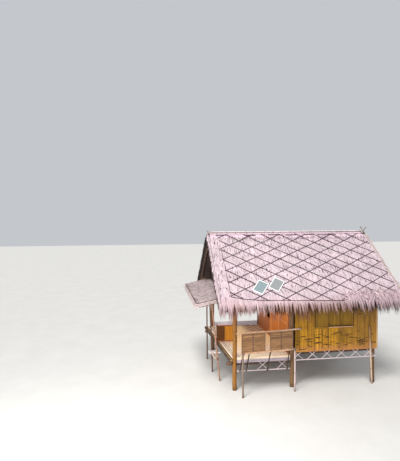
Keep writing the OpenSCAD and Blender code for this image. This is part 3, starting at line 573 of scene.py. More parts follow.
def axis_of(solid):
    """Start, end and radius of a pole's solid."""
    centre = solid.mean(0)
    direction = np.linalg.svd(solid - centre)[2][0]
    if direction @ np.array([0.3, 0.2, 1.0]) < 0:
        direction = -direction
    along = (solid - centre) @ direction
    off = solid - centre - np.outer(along, direction)
    start = Vector(centre + direction * along.min())
    end = Vector(centre + direction * along.max())
    return start, end, float(np.linalg.norm(off, axis=1).max())


def reach(solid, direction):
    """Lowest and highest place of a solid along a direction."""
    along = solid @ np.array(direction)
    return float(along.min()), float(along.max())


def culms(node, material, slot, seed, **more):
    """Poles of a node as culms. Returns their axes."""
    rng, build = random.Random(seed), Build()
    axes = [axis_of(s) for s in solids_of(node)]
    for start, end, radius in axes:
        culm(build, start, end, radius, rng, **more)
    build.done(node + "_culms", material, slot, replaces=(node,), smooth=True)
    return axes


# Roof

def on_slope(side, x, v, w):
    """A place on a slope: x along the ridge, v down it, w out of it. side -1 is the front."""
    return Vector((x, MID_Y + side * (v * ROOF_C + w * ROOF_S), RIDGE_Z - v * ROOF_S + w * ROOF_C))


def slope_out(side):
    return Vector((0, side * ROOF_S, ROOF_C))


def slope_down(side):
    return on_slope(side, 0, 1, 0) - on_slope(side, 0, 0, 0)


def steps(rng, start, end, least, most):
    """Places at random steps, until one has passed the end."""
    place = start
    while place < end:
        place += rng.uniform(least, most)
        yield place


def along_ridge(table, x):
    """The value of a table at x, between its nearest two entries."""
    return float(np.interp(x, *zip(*table)))


def thatch_leaves(side, name, seed):
    """Courses of leaves whose tips lie free over the course below."""
    rng, build = random.Random(seed), Build()
    course = FIRST_COURSE
    while course < ROOF_LEN + 0.02:
        for x in steps(rng, ROOF_X0 - 0.02, ROOF_X1 + 0.02, 0.018, 0.032):
            length = rng.uniform(0.2, 0.3)
            tip = course + rng.uniform(-0.04, 0.04)
            lean = rng.gauss(0, 0.13)
            lift = rng.uniform(0.004, 0.009) + (0.003 if rng.random() < 0.04 else 0)
            path = [on_slope(side, x + lean * length * t, tip - length * (1 - t), w)
                    for t, w in ((0, -0.004), (0.45, 0.3 * lift), (0.8, 0.75 * lift), (1, lift))]
            across = (X - (path[-1] - path[0]).normalized() * lean).normalized()
            leaf(build, path, across, slope_out(side), rng.uniform(0.022, 0.040), 0.75)
        course += COURSE_PITCH
    build.done(name, "thatch_leaf", "thatch")


def eave_fringe(side, name, node, seed, rows, material):
    """Leaf ends that flow over the eave and hang down, drawn together in pointed tufts."""
    rng, build = random.Random(seed), Build()
    # Place, size and swing of each tuft
    tufts = []
    x = ROOF_X0 - 0.03
    while x < ROOF_X1 + 0.06:
        tufts.append((x, rng.uniform(0.66, 1.16), rng.gauss(0, 0.016)))
        x += rng.uniform(0.03, 0.10)
    for back, w, drop, share, gather in rows:
        for x in steps(rng, ROOF_X0 - 0.01, ROOF_X1 + 0.01, 0.006, 0.012):
            if material == "fringe_leaf" and rng.random() < along_ridge(SPARSE, x):
                continue
            tuft, size, swing = min(tufts, key=lambda t: abs(t[0] - x))
            drawn_in = gather * along_ridge(GATHER, x)
            off = min(1.0, abs(x - tuft) / TUFT_REACH)
            length = along_ridge(HANG, x) * share * size * rng.uniform(0.66, 1.04)
            length *= 1 - 0.35 * off * drawn_in
            pull = (tuft - x) * drawn_in * rng.uniform(0.8, 1.0) + swing + rng.gauss(0, 0.007)
            steep = drop + rng.gauss(0, 0.05)
            here = on_slope(side, x, ROOF_LEN - 0.01, w)
            path = [on_slope(side, x + rng.gauss(0, 0.01), ROOF_LEN - back * rng.uniform(0.7, 1.1),
                             w - 0.006), here]
            drawn = 0.0
            for t, gathered in ((1 / 3, 0.35), (2 / 3, 0.8), (1.0, 1.0)):
                angle = ROOF_SLOPE + (steep - ROOF_SLOPE) * (0.3 + 0.7 * t)
                here = here + Vector((pull * (gathered - drawn),
                                      side * math.cos(angle) * length / 3,
                                      -math.sin(angle) * length / 3))
                drawn = gathered
                path.append(here)
            brown = along_ridge(BROWN, x) * rng.uniform(0.7, 1.0)
            width = rng.uniform(0.009, 0.016)
            up = Vector((0, side * math.sin(steep), math.cos(steep)))
            blade(build, path, X, up, [width * k for k in (1.3, 1.1, 0.8, 0.35)],
                  fade=[brown * k for k in (0.0, 0.1, 0.35, 0.7, 1.0)])
    build.done(name, material, "thatch_fringe", replaces=(node,) if node else ())


def eave_fluff(side, name, seed):
    """Loose leaf ends that cover the strips at the right end of the eave."""
    rng, build = random.Random(seed), Build()
    for course in (2.56, 2.61, 2.66, 2.71, 2.76):
        for x in steps(rng, 3.0, ROOF_X1 - 0.02, 0.012, 0.022):
            if rng.random() > (x - 2.95) / 0.4 * (course - 2.48) / 0.12:
                continue
            length = rng.uniform(0.14, 0.24)
            lean = rng.gauss(0, 0.22)
            root = min(course, ROOF_LEN - 0.04) + rng.uniform(-0.08, 0.08) - length * 0.4
            path = []
            for t, w in ((0, 0.0), (0.4, 0.024), (0.75, 0.036), (1, 0.034)):
                past = max(0.0, root + length * t - ROOF_LEN)
                at = on_slope(side, x + lean * length * t, min(root + length * t, ROOF_LEN), w)
                path.append(at + Vector((0, side * 0.4 * past, -0.9 * past)))
            leaf(build, path, X, slope_out(side), rng.uniform(0.010, 0.018))
    build.done(name, "fluff_leaf", "thatch_fringe")


def hanging_strands(name, seed):
    """Loose brown strands that hang below the front eave at three places."""
    rng, build = random.Random(seed), Build()
    for a, b, count, out in STRANDS:
        for _ in range(count):
            x = rng.uniform(a, b)
            length = rng.uniform(0.42, 0.64)
            lean = rng.gauss(0, 0.05)
            here = on_slope(-1, x, ROOF_LEN - 0.02, -0.03)
            path = [here] + [here + Vector((lean * t, -out * math.sqrt(t), -length * t))
                             for t in (0.25, 0.5, 0.75, 1.0)]
            leaf(build, path, X, -Y, rng.uniform(0.014, 0.022))
    build.done(name, "strand", "thatch_fringe")


def rake_edges(name, material, layers, sides, seed):
    """Ragged leaf ends over the cut ends of the thatch at both gables."""
    rng, build = random.Random(seed), Build()
    for end, x in ((-1, ROOF_X0), (1, ROOF_X1)):
        for side in sides:
            down = slope_down(side)
            v = 0.05
            while v < ROOF_LEN - 0.02:
                v += RAKE_PITCH
                for w in layers:
                    length = rng.uniform(0.10, 0.20)
                    out = rng.uniform(0.10, 0.30)
                    start = on_slope(side, x - end * 0.03, v, w + rng.uniform(-0.015, 0.015))
                    droop = rng.uniform(0.0, 0.25)
                    path = [start]
                    for t in (0.4, 0.75, 1.0):
                        path.append(start + end * X * (0.03 * min(t * 2, 1) + out * length * t)
                                    + down * length * t - Z * droop * length * t * t)
                    leaf(build, path, slope_out(side), X * end, rng.uniform(0.014, 0.026))
    build.done(name, material, "thatch_fringe")


def ridge_leaves(name, seed):
    """Leaf bundles laid over the ridge cap."""
    rng, build = random.Random(seed), Build()
    lo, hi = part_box("ridge_cap")
    base = CAP_T + 0.001
    for side in (-1, 1):
        for root in (0.0, 0.06, 0.11):
            for x in steps(rng, lo.x - 0.02, hi.x, 0.014, 0.026):
                length = rng.uniform(0.13, 0.20)
                lean = rng.gauss(0, 0.14)
                path = [on_slope(side, x + lean * length * t, root + 0.01 + length * t, base + w)
                        for t, w in ((0, 0.0), (0.5, 0.006), (0.85, 0.002), (1, -0.014))]
                leaf(build, path, X, slope_out(side), rng.uniform(0.018, 0.034), 0.7, THICK_LEAF_T)
    build.done(name, "ridge_leaf", "ridge_thatch")


def clip(start, step, lo, hi):
    """The part of a line that lies in a rectangle, as two multiples of step, or None."""
    first, last = -1e9, 1e9
    for s, d, a, b in zip(start, step, lo, hi):
        ends = sorted(((a - s) / d, (b - s) / d))
        first, last = max(first, ends[0]), min(last, ends[1])
    return (first, last) if last > first else None


def lattice(side, name, node, seed):
    """Split strips tied over the thatch in diamonds, each a little bent by hand."""
    rng, build = random.Random(seed), Build()
    left, right = ROOF_X0 + STRIP_LEFT, ROOF_X1 - STRIP_RIGHT
    lo, hi = (left, -ROOF_LEN), (right, -STRIP_TOP)
    crossing = (left + FIRST_CROSSING[0], -ROOF_LEN + STRIP_EAVE + FIRST_CROSSING[1])
    up = slope_out(side)

    def lay(path, w, width):
        wave = [rng.uniform(-1, 1) for _ in path]
        points = []
        for i, (x, y) in enumerate(path):
            held = 0.006 * math.sin(math.pi * i / (len(path) - 1))
            over_cap = max(0.0, min(1.0, (CAP_END + y) / 0.1))
            points.append(on_slope(side, x + held * wave[i], -y + held * wave[i - 1],
                                   w + 0.002 * wave[i] + CAP_RISE * over_cap))
        run = (points[-1] - points[0]).normalized()
        knots = [0.8 if rng.random() < STRIP_SPOTS else 0.0 for _ in points]
        strip(build, points, run.cross(up), up, width, STRIP_T, STRIP_CROWN, knots)

    for step, other, w, bold in ((RISE, FALL, 0.004, 0.98), (FALL, RISE, 0.011, 0.80)):
        for i in range(-MOST_STRIPS, MOST_STRIPS + 1):
            start = (crossing[0] + i * other[0], crossing[1] + i * other[1])
            ends = clip(start, step, lo, hi)
            if not ends:
                continue
            count = max(2, round((ends[1] - ends[0]) * math.hypot(*step) / STRIP_STEP))
            path = []
            for k in range(count + 1):
                t = ends[0] + (ends[1] - ends[0]) * k / count
                path.append((start[0] + step[0] * t, start[1] + step[1] * t))
            path = [p for p in path if -p[1] <= along_ridge(HEM, p[0])]
            if len(path) > 3:
                lay(path[:-1:3] + [path[-1]], w, STRIP_W * bold * rng.uniform(0.8, 1.15))
    hem = [left + (HEM_END - left) * i / 30 for i in range(31)]
    lay([(x, -along_ridge(HEM, x)) for x in hem], 0.013, STRIP_W * 0.55)
    low = along_ridge(HEM, left)
    border = [-0.7 - (low - 0.7) * i / 16 for i in range(17)]
    lay([(left + STRIP_W / 2, y) for y in border], 0.010, STRIP_W * 0.25)
    build.done(name, "strip", "lattice_strip", replaces=(node,))


def ridge_laths(name):
    """Short dark laths beside the pale poles of the ridge."""
    build = Build()
    for side in (-1, 1):
        for i, (a, b) in enumerate(RIDGE_LATHS):
            v = 0.13 + 0.02 * (i % 2)
            points = [on_slope(side, a + (b - a) * t, v + 0.004 * math.sin(9 * t + i),
                               CAP_T + 0.014) for t in QUARTERS]
            strip(build, points, slope_down(side), slope_out(side), 0.022, 0.008, 0.003)
    build.done(name, "strip", "ridge_thatch")


def on_pent(y, v, w):
    """A place on the pent roof: v down its slope from its top edge, w out of it."""
    out = Vector((-math.sin(PENT_SLOPE), 0, math.cos(PENT_SLOPE)))
    down = Vector((-math.cos(PENT_SLOPE), 0, -math.sin(PENT_SLOPE)))
    return Vector((PENT_HI.x, y, PENT_HI.z)) + down * v + out * w


def pent_leaves(name, seed):
    """Leaves in courses on the pent roof, and loose ends along its eave and its two sides."""
    rng, build = random.Random(seed), Build()
    up = on_pent(0, 0, 1) - on_pent(0, 0, 0)
    down = on_pent(0, 1, 0) - on_pent(0, 0, 0)
    slope_len = (PENT_HI.x - PENT_LO.x) / math.cos(PENT_SLOPE)
    course = PENT_FIRST_COURSE
    while course < slope_len + 0.03:
        for y in steps(rng, PENT_LO.y, PENT_HI.y, 0.022, 0.036):
            length = min(rng.uniform(0.22, 0.32), course - 0.01)
            lean = rng.gauss(0, 0.12)
            lift = rng.uniform(0.006, 0.016)
            tip = course + rng.uniform(-0.03, 0.03)
            path = [on_pent(y + lean * length * t, tip - length * (1 - t), w * lift)
                    for t, w in ((0, -0.3), (0.45, 0.3), (0.8, 0.75), (1, 1))]
            leaf(build, path, Y, up, rng.uniform(0.026, 0.044), 0.75, THICK_LEAF_T)
        course += PENT_COURSE_PITCH
    for w in (-0.01, -0.04, -0.07):
        for y in steps(rng, PENT_LO.y, PENT_HI.y, 0.010, 0.018):
            length = rng.uniform(0.10, 0.20)
            lean = rng.gauss(0, 0.2)
            start = on_pent(y, slope_len - 0.03, w)
            path = [start]
            for t in (0.35, 0.7, 1.0):
                path.append(start + Vector((-0.30 * length * t - 0.02 * t, lean * length * t,
                                            -length * t * t * 0.8 - 0.12 * length * t)))
            leaf(build, path, Y, up, rng.uniform(0.012, 0.022))
    for end, y in ((-1, PENT_LO.y), (1, PENT_HI.y)):
        v = 0.03
        while v < slope_len - 0.02:
            v += PENT_SIDE_PITCH
            for w in (-0.012, -0.045, -0.075):
                length = rng.uniform(0.08, 0.16)
                start = on_pent(y - end * 0.02, v, w)
                path = [start] + [start + down * length * t + Y * end * (0.02 + 0.2 * length * t)
                                  - Z * 0.15 * length * t for t in (0.4, 0.75, 1.0)]
                leaf(build, path, Z, Y * end, rng.uniform(0.014, 0.024))
    build.done(name, "pent_leaf", "thatch")


# Woven surfaces. A plane is its origin, the directions u and v in it, and the one out of it.

def weave(build, plane, width, tall, rng, pitch=0.032, thick=0.004, depth=0.003, batten=0.3,
          holes=(), ends=0.0):
    """Split strips along v, laid side by side along u and passing over and under battens.

    tall is their length, or a function that gives the lowest and highest v at a place on u.
    holes are (u0, u1, v0, v1). ends is how much a strip may be short at each end."""
    origin, u, v, out = plane
    place, index = 0.0, 0
    while place < width - 0.004:
        w = min(pitch * rng.uniform(0.65, 1.4), width - place)
        spans = [tall(place + w / 2) if callable(tall) else (0.0, tall)]
        for u0, u1, v0, v1 in holes:
            if place + w > u0 + 0.002 and place < u1 - 0.002:
                spans = [s for a, b in spans for s in ((a, min(b, v0)), (max(a, v1), b))]
        index += 1
        for a, b in spans:
            if b - a < SHORTEST_STRIP:
                continue
            a2, b2 = a + rng.uniform(0, ends), b - rng.uniform(0, ends)
            count = max(2, round((b2 - a2) / (batten / 3)))
            points = []
            for i in range(count + 1):
                at = a2 + (b2 - a2) * i / count
                wave = 0.5 + 0.5 * math.sin(math.pi * (at / batten + index))
                points.append(origin + u * (place + w / 2) + v * at
                              + out * (depth * wave + rng.uniform(0, 0.001)))
            strip(build, points, u, out, w * 0.95, thick, 0.0012)
        place += w


def dashes(build, plane, width, height, rng, count, holes=(), band=None, sizes=(0.05, 0.15)):
    """Short dark marks where the split culms had their nodes."""
    origin, u, v, out = plane
    for _ in range(count):
        size = rng.uniform(*sizes)
        a, b = rng.uniform(0.02, width - size - 0.02), rng.uniform(*(band or (0.06, height - 0.04)))
        if any(u0 - size < a < u1 and v0 - 0.02 < b < v1 + 0.02 for u0, u1, v0, v1 in holes):
            continue
        tilt = rng.gauss(0, 0.05)
        points = [origin + u * (a + size * t) + out * 0.0055
                  + v * (b + tilt * size * t + rng.uniform(-1, 1) * 0.003)
                  for t in (0, 0.35, 0.7, 1)]
        strip(build, points, v, out, rng.uniform(0.012, 0.024), 0.004, 0.001)


def wall(node, plane, width, height, rng, low_marks, band, other_marks, holes=()):
    """Strips on a wall and its dark marks, long ones in a low band. Returns the marks."""
    build, marks = Build(), Build()
    weave(build, plane, width, height, rng, WALL_PITCH, holes=holes)
    build.done(node + "_strips", "woven", "woven_wall")
    dashes(marks, plane, width, height, rng, low_marks, holes, band, LONG_MARKS)
    dashes(marks, plane, width, height, rng, other_marks, holes)
    return marks


def long_wall(side, node, seed):
    """A long wall with its window, upright seams and a corner lath."""
    rng, edge = random.Random(seed), Build()
    lo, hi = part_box(node)
    out = Y * side
    origin = Vector((lo.x, lo.y if side < 0 else hi.y, lo.z))
    width, height = hi.x - lo.x, hi.z - lo.z
    hole = (WINDOW_LO.x - lo.x, WINDOW_HI.x - lo.x, WINDOW_LO.z - lo.z, WINDOW_HI.z - lo.z)
    marks = wall(node, (origin, X, Z, out), width, height, rng, 38, (0.14, 0.50), 24, [hole])
    place = 0.12
    while place < width - 0.1:
        lean = rng.gauss(0, 0.012)
        low, top = rng.uniform(0.0, 0.12), rng.uniform(0.35, 0.8)
        if not hole[0] - 0.02 < place < hole[1] + 0.02:
            top = height
        points = [origin + X * (place + lean * t) + Z * (low + (top - low) * t) + out * 0.006
                  for t in (0, 0.3, 0.6, 1)]
        strip(marks, points, X, out, rng.uniform(0.008, 0.014), 0.003, 0.001)
        place += rng.uniform(0.14, 0.34)
    foot = origin + X * (width - 0.026) + out * 0.007
    strip(edge, [foot, foot + Z * height], X, out, 0.045, 0.01, 0.005)
    marks.done(node + "_nodes", "dash", "woven_wall")
    edge.done(node + "_edge", "corner", "woven_wall")


def right_wall(seed):
    lo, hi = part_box("right_wall")
    plane = (Vector((hi.x, lo.y, lo.z)), Y, Z, X)
    marks = wall("right_wall", plane, hi.y - lo.y, hi.z - lo.z, random.Random(seed), 34,
                 (0.07, 0.42), 22)
    marks.done("right_wall_nodes", "dash", "woven_wall")


def gable_strips(seed):
    """Upright strips up to the underside of the thatch, above the pent roof on the left, near black
    as painted shade.
    """
    rng, build = random.Random(seed), Build()
    for solid, side in zip(solids_of("gables"), (-1, 1)):
        x = reach(solid, X)[0 if side < 0 else 1]
        y0, y1 = reach(solid, Y)
        z0 = reach(solid, Z)[0]
        start = PENT_HI.z - z0 + 0.02 if side < 0 else 0.0

        def span(a):
            roof = UNDER_RIDGE_Z - abs(MID_Y - (y0 + a)) * math.tan(ROOF_SLOPE)
            return start, roof - z0 - 0.01

        weave(build, (Vector((x, y0, z0)), Y, Z, X * side), y1 - y0, span, rng, 0.045)
    build.done("gable_strips", "gable", "gable_panel")


def inner_wall_boards(seed):
    """Horizontal boards on the veranda's side of the inner wall."""
    rng, build = random.Random(seed), Build()
    for node in ("left_wall_base", "left_wall_front", "left_wall_over_door", "left_wall_back"):
        lo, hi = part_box(node)
        hole = []
        if node == "left_wall_back":
            inside = [p for p in solids_of(node)[0] if lo.y + 0.01 < p[1] < hi.y - 0.01
                      and lo.z + 0.05 < p[2] < lo.z + 1.2]
            ys, zs = [p[1] for p in inside], [p[2] for p in inside]
            hole = [(min(zs) - lo.z, max(zs) - lo.z, min(ys) - lo.y, max(ys) - lo.y)]

        def span(a):
            half = (UNDER_RIDGE_Z - lo.z - a - 0.04) / math.tan(ROOF_SLOPE)
            return max(0.0, MID_Y - half - lo.y), min(hi.y - lo.y, MID_Y + half - lo.y)

        weave(build, (lo, Z, Y, -X), hi.z - lo.z, span, rng, 0.075, 0.006, 0.001, holes=hole)
    build.done("inner_wall_boards", "orange", "inner_wall")


def shutters(seed):
    """Woven panels, the seams between them, dark strips at the reveals as painted shade, and a pale
    sill.
    """
    rng = random.Random(seed)
    build, seams, sills = Build(), Build(), Build()
    panels = sorted(solids_of("window_shutters"), key=lambda s: s[:, 1].mean())
    for solid, side, face in zip(panels, (-1, 1), (WINDOW_LO.y, WINDOW_HI.y)):
        (x0, x1), (z0, z1) = reach(solid, X), reach(solid, Z)
        y = reach(solid, Y)[0 if side < 0 else 1]
        out = Y * side
        weave(build, (Vector((x0, y, z0)), X, Z, out), x1 - x0, z1 - z0, rng, 0.03, 0.003,
              batten=0.16)
        for share in (0.36, 0.68):
            x = x0 + (x1 - x0) * share
            bend = rng.uniform(-0.012, 0.012)
            strip(seams, [Vector((x, y, z0)), Vector((x + bend, y, (z0 + z1) / 2)),
                          Vector((x, y, z1))], X, out, 0.011, 0.0085, 0.001)
        # Dark strips at the left and right reveals: painted shade in the window's recess
        left, right = WINDOW_LO.x + 0.01, WINDOW_HI.x - 0.012
        for x in (left, right):
            strip(seams, [Vector((x, face, z)) for z in (WINDOW_LO.z, WINDOW_HI.z)], X, out,
                  0.018, 0.004, 0.001)
        # The seams strip just above the sill is a dark line of painted shade under the shutter; the
        # other is the pale sill
        start = left + (right - left) * 0.36
        for made, rise, tall in ((seams, 0.056, 0.022), (sills, 0.026, 0.018)):
            strip(made, [Vector((x, face, WINDOW_LO.z + rise)) for x in (start, right)], Z, out,
                  tall, 0.005, 0.002)
    build.done("shutter_strips", "shutter", "shutter")
    seams.done("shutter_seams", "dash", "shutter")
    sills.done("window_sills", "sill", "window_frame")


def leaf_strips(node, body, seed):
    """Woven panel and brace on both faces of a door leaf. The brace falls from the hinge side."""
    rng = random.Random(seed)
    build, brace = Build(), Build()
    lo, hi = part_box(node)
    y0, y1 = lo.y + LEAF_BAR, hi.y - LEAF_BAR
    z0, z1 = lo.z + PIVOT_LEN, hi.z - PIVOT_LEN
    fields = [(z0 + LEAF_BAR, z0 + LEAF_RAIL_Z), (z0 + LEAF_RAIL_Z + LEAF_BAR, z1 - LEAF_BAR)]
    for side in (-1, 1):
        x = (lo.x + hi.x) / 2 + side * LEAF_PANEL_T / 2
        for a, b in fields:
            weave(build, (Vector((x, y0, a)), Y, Z, X * side), y1 - y0, b - a, rng, 0.05,
                  depth=0.002)
        a, b = fields[1]
        ys = (y0, y1) if body == "front_leaf" else (y1, y0)
        ends = [Vector((x + side * 0.007, y, z)) for y, z in zip(ys, (b, a))]
        run = (ends[1] - ends[0]).normalized()
        ends = [ends[0] + run * 0.05, ends[1] - run * 0.05]
        strip(brace, ends, run.cross(X), X * side, 0.034, 0.004, 0.001)
    build.done(node + "_strips", "door", "door_leaf", body=body)
    brace.done(node + "_brace", "pale_bar", "door_leaf", body=body)


# Floors and railing

def left_edge(node):
    """X at the front and at the back end of a floor's left edge, which is slanted."""
    lo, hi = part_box(node)
    solid = solids_of(node)[0]
    return [min(p[0] for p in solid if abs(p[1] - y) < 0.005) for y in (lo.y, hi.y)]


def floors(seed):
    """Split bamboo laid over both floors, cut along their left edges."""
    rng = random.Random(seed)
    for node, inset in (("veranda_floor", 0.08), ("room_floor", 0.13)):
        build = Build()
        lo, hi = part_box(node)
        front_x, back_x = left_edge(node)

        def span(a):
            t = (a + inset) / (hi.y - lo.y)
            return front_x + (back_x - front_x) * t - lo.x, hi.x - lo.x - 0.004

        weave(build, (Vector((lo.x, lo.y + inset, hi.z)), Y, X, Z), hi.y - lo.y - 2 * inset, span,
              rng, 0.042, 0.003, batten=0.14)
        build.done(node + "_slats", "floor", "floor_bamboo")


def floor_edge(seed):
    """Laths along the veranda floor's slanted left edge: two dark ones, then pale ones."""
    rng = random.Random(seed)
    lo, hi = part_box("veranda_floor")
    ends = [Vector((x, y, hi.z)) for x, y in zip(left_edge("veranda_floor"), (lo.y, hi.y))]
    run = (ends[1] - ends[0]).normalized()
    inward = Vector((run.y, -run.x, 0))
    for name, material, places, wide in (
            ("floor_edge_dark", "strut", (0.016, 0.078), 0.032),
            ("floor_edge_brown", "corner", (0.047,), 0.026),
            ("floor_edge_pale", "pale_lath", (0.124, 0.182, 0.240, 0.298, 0.356), 0.046),
            ("floor_edge_seams", "strut", (0.153, 0.211, 0.269, 0.327), 0.010)):
        build = Build()
        for place in places:
            points = [ends[0] + (ends[1] - ends[0]) * (i / 12)
                      + inward * (place + rng.uniform(-0.002, 0.002)) for i in range(13)]
            strip(build, points, inward, Z, wide, 0.008, 0.005)
        build.done(name, material, "floor_bamboo")
    side = Build()
    height = Z * ((lo.z - hi.z) / 2)
    strip(side, [e + height - inward * 0.002 for e in ends], Z, -inward, hi.z - lo.z, 0.006, 0.001)
    side.done("floor_edge_side", "strut", "floor_bamboo")


def railing_slats(seed):
    """Woven slats and three upright bars on both faces of each railing panel."""
    rng = random.Random(seed)
    build, bars = Build(), Build()
    along = Vector((math.cos(RAIL_TURN), math.sin(RAIL_TURN), 0))
    out = Vector((math.sin(RAIL_TURN), -math.cos(RAIL_TURN), 0))
    for solid in solids_of("railing_panels"):
        (a0, a1), (z0, z1), (n0, n1) = (reach(solid, way) for way in (along, Z, out))
        for face, direction in ((n1, out), (n0, -out)):
            origin = along * a0 + out * face + Z * z0
            weave(build, (origin, Z, along, direction), z1 - z0, a1 - a0, rng, 0.026, 0.003, 0.004,
                  0.16)
            for t, wide in ((0.012, 0.012), (0.47, 0.022), (0.988, 0.012)):
                foot = origin + direction * 0.005 + along * ((a1 - a0) * t)
                strip(bars, [foot, foot + Z * (z1 - z0)], along, direction, wide, 0.006, 0.002)
    build.done("railing_slats", "slat", "railing_panel")
    bars.done("railing_bars", "dark_pole", "railing_panel")


def entry_weave(seed):
    """Strips on both faces of the low screen at the entry."""
    rng, build = random.Random(seed), Build()
    lo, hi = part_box("entry_screen")
    for side, y in ((-1, lo.y), (1, hi.y)):
        weave(build, (Vector((lo.x, y, lo.z)), X, Z, Y * side), hi.x - lo.x, hi.z - lo.z, rng, 0.03,
              batten=0.12)
    build.done("entry_screen_strips", "screen", "woven_wall")


def step_slats(seed):
    """The entry step as split culms laid side by side."""
    rng, build = random.Random(seed), Build()
    lo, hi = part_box("entry_step")
    pitch = (hi.x - lo.x) / STEP_CULMS
    for i in range(STEP_CULMS):
        x = lo.x + (i + 0.5) * pitch
        points = [Vector((x, lo.y + (hi.y - lo.y) * t, lo.z)) for t in QUARTERS]
        strip(build, points, X, Z, pitch * 0.94, hi.z - lo.z - 0.006 + rng.uniform(0, 0.003), 0.004)
    build.done("entry_step_slats", "pale_board", "pale_board", replaces=("entry_step",))


def solar():
    """Two small panels: a pale frame, and cells a little below its rim."""
    frames, cells = Build(), Build()
    up, down = slope_out(-1), slope_down(-1)
    u = X * math.cos(SOLAR_TURN) - down * math.sin(SOLAR_TURN)
    v = -X * math.sin(SOLAR_TURN) - down * math.cos(SOLAR_TURN)
    for solid in solids_of("solar_panels"):
        (u0, u1), (v0, v1), (n0, n1) = (reach(solid, way) for way in (u, v, up))

        def at(places, n):
            return [u * a + v * b + up * n for a, b in places]

        outer = [(u0, v0), (u1, v0), (u1, v1), (u0, v1)]
        inner = [(u0 + SOLAR_RIM, v0 + SOLAR_RIM), (u1 - SOLAR_RIM, v0 + SOLAR_RIM),
                 (u1 - SOLAR_RIM, v1 - SOLAR_RIM), (u0 + SOLAR_RIM, v1 - SOLAR_RIM)]
        pairs = [(i, (i + 1) % 4) for i in range(4)]
        faces = []
        for i, j in pairs:
            faces += [(i, j, 4 + j, 4 + i), (4 + i, 4 + j, 8 + j, 8 + i),
                      (8 + i, 8 + j, 12 + j, 12 + i), (12 + i, 12 + j, j, i)]
        points = at(outer, n0) + at(outer, n1) + at(inner, n1) + at(inner, n0)
        frames.add(points, faces, [(0.0, 0.0, 0.5)] * len(points))
        points = at(inner, n0 + 0.002) + at(inner, n1 - 0.004)
        faces = [(3, 2, 1, 0), (4, 5, 6, 7)] + [(i, j, 4 + j, 4 + i) for i, j in pairs]
        grain = [(a - u0 - SOLAR_RIM, b - v0 - SOLAR_RIM, 0.0) for a, b in inner]
        cells.add(points, faces, grain * 2)
    frames.done("solar_frames", "frame_metal", "solar_panel", replaces=("solar_panels",))
    cells.done("solar_cells", "cells", "solar_panel")


# Lashings

def closest(a, b):
    """The closest points of two pole axes."""
    p, d = a[0], (a[1] - a[0]).normalized()
    q, e = b[0], (b[1] - b[0]).normalized()
    r = p - q
    k = d.dot(e)
    base = 1 - k * k
    if base < 1e-4:
        return None
    s = (k * e.dot(r) - d.dot(r)) / base
    t = (e.dot(r) - k * d.dot(r)) / base
    if not (-0.03 < s < (a[1] - a[0]).length + 0.03 and -0.03 < t < (b[1] - b[0]).length + 0.03):
        return None
    return p + d * s, q + e * t


def lash(build, a, b):
    """Crossed turns of cord where two poles touch."""
    pair = closest(a, b)
    if not pair or (pair[1] - pair[0]).length > a[2] + b[2] + 0.012:
        return
    out = (pair[1] - pair[0]).normalized()
    d, e = (a[1] - a[0]).normalized(), (b[1] - b[0]).normalized()
    centre = (pair[0] + out * a[2] + pair[1] - out * b[2]) / 2
    tall = a[2] + b[2] + CORD_R
    wide = 1.25 * max(a[2], b[2]) + CORD_R
    # Three corners on each ring of a cord
    pairs = [(i, j) for i in range(CORD_RINGS) for j in range(3)]
    faces = [(i * 3 + j, i * 3 + (j + 1) % 3, (i + 1) % CORD_RINGS * 3 + (j + 1) % 3,
              (i + 1) % CORD_RINGS * 3 + j) for i, j in pairs]
    for way in ((d + e).normalized(), (d - e).normalized()):
        side = out.cross(way).normalized()
        for shift in (-1.8, 0.0, 1.8):
            points = []
            for i in range(CORD_RINGS):
                angle = 2 * math.pi * i / CORD_RINGS
                spot = centre + out * math.cos(angle) * tall + way * math.sin(angle) * wide
                away = (out * math.cos(angle) + way * math.sin(angle)).normalized()
                spot = spot + side * shift * CORD_R
                points += [spot + (away * math.cos(k) + side * math.sin(k)) * CORD_R
                           for k in (0, 2.1, 4.2)]
            grain = [(0.01 * j, 0.02 * i, build.count * 0.7) for i, j in pairs]
            build.add(points, faces, grain)


# The frame's own nodes that keep their shape
KEPT = {
    "thatch_bed": ("front_thatch", "back_thatch", "ridge_cap", "pent_thatch"),
    "fascia": ("veranda_fascia",),
    "kerb": ("veranda_kerb",),
    "floor_bed": ("veranda_floor", "room_floor"),
    "gable_back": ("gables",),
    "woven_back": ("front_wall", "back_wall", "right_wall", "window_shutters", "railing_panels",
                   "entry_screen"),
    "orange_bar": ("left_wall_base", "left_wall_front", "left_wall_over_door", "left_wall_back",
                   "door_frame", "door_leaf_front", "door_leaf_back"),
    "window_frame": ("window_frames",),
    "skirt": ("skirts",),
}
for material, nodes in KEPT.items():
    for node in nodes:
        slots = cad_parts[node].data.materials
        slots.clear()
        slots.append(M[material])

# The roof
thatch_leaves(-1, "thatch_leaves_front", 11)
thatch_leaves(1, "thatch_leaves_back", 12)
eave_fringe(-1, "eave_fringe_front", "front_fringe", 21, OUTER_ROWS, "fringe_leaf")
eave_fringe(1, "eave_fringe_back", "back_fringe", 22, OUTER_ROWS, "fringe_leaf")
# Inner fringe layers of near-black leaves: painted shade under the eave
eave_fringe(-1, "eave_shade_front", None, 23, INNER_ROWS, "painted_shade_leaf")
eave_fringe(1, "eave_shade_back", None, 24, INNER_ROWS, "painted_shade_leaf")
hanging_strands("eave_strands", 37)
eave_fluff(-1, "eave_fluff_front", 35)
eave_fluff(1, "eave_fluff_back", 36)
rake_edges("rake_edges", "fringe_leaf", (-0.012,), (-1,), 31)
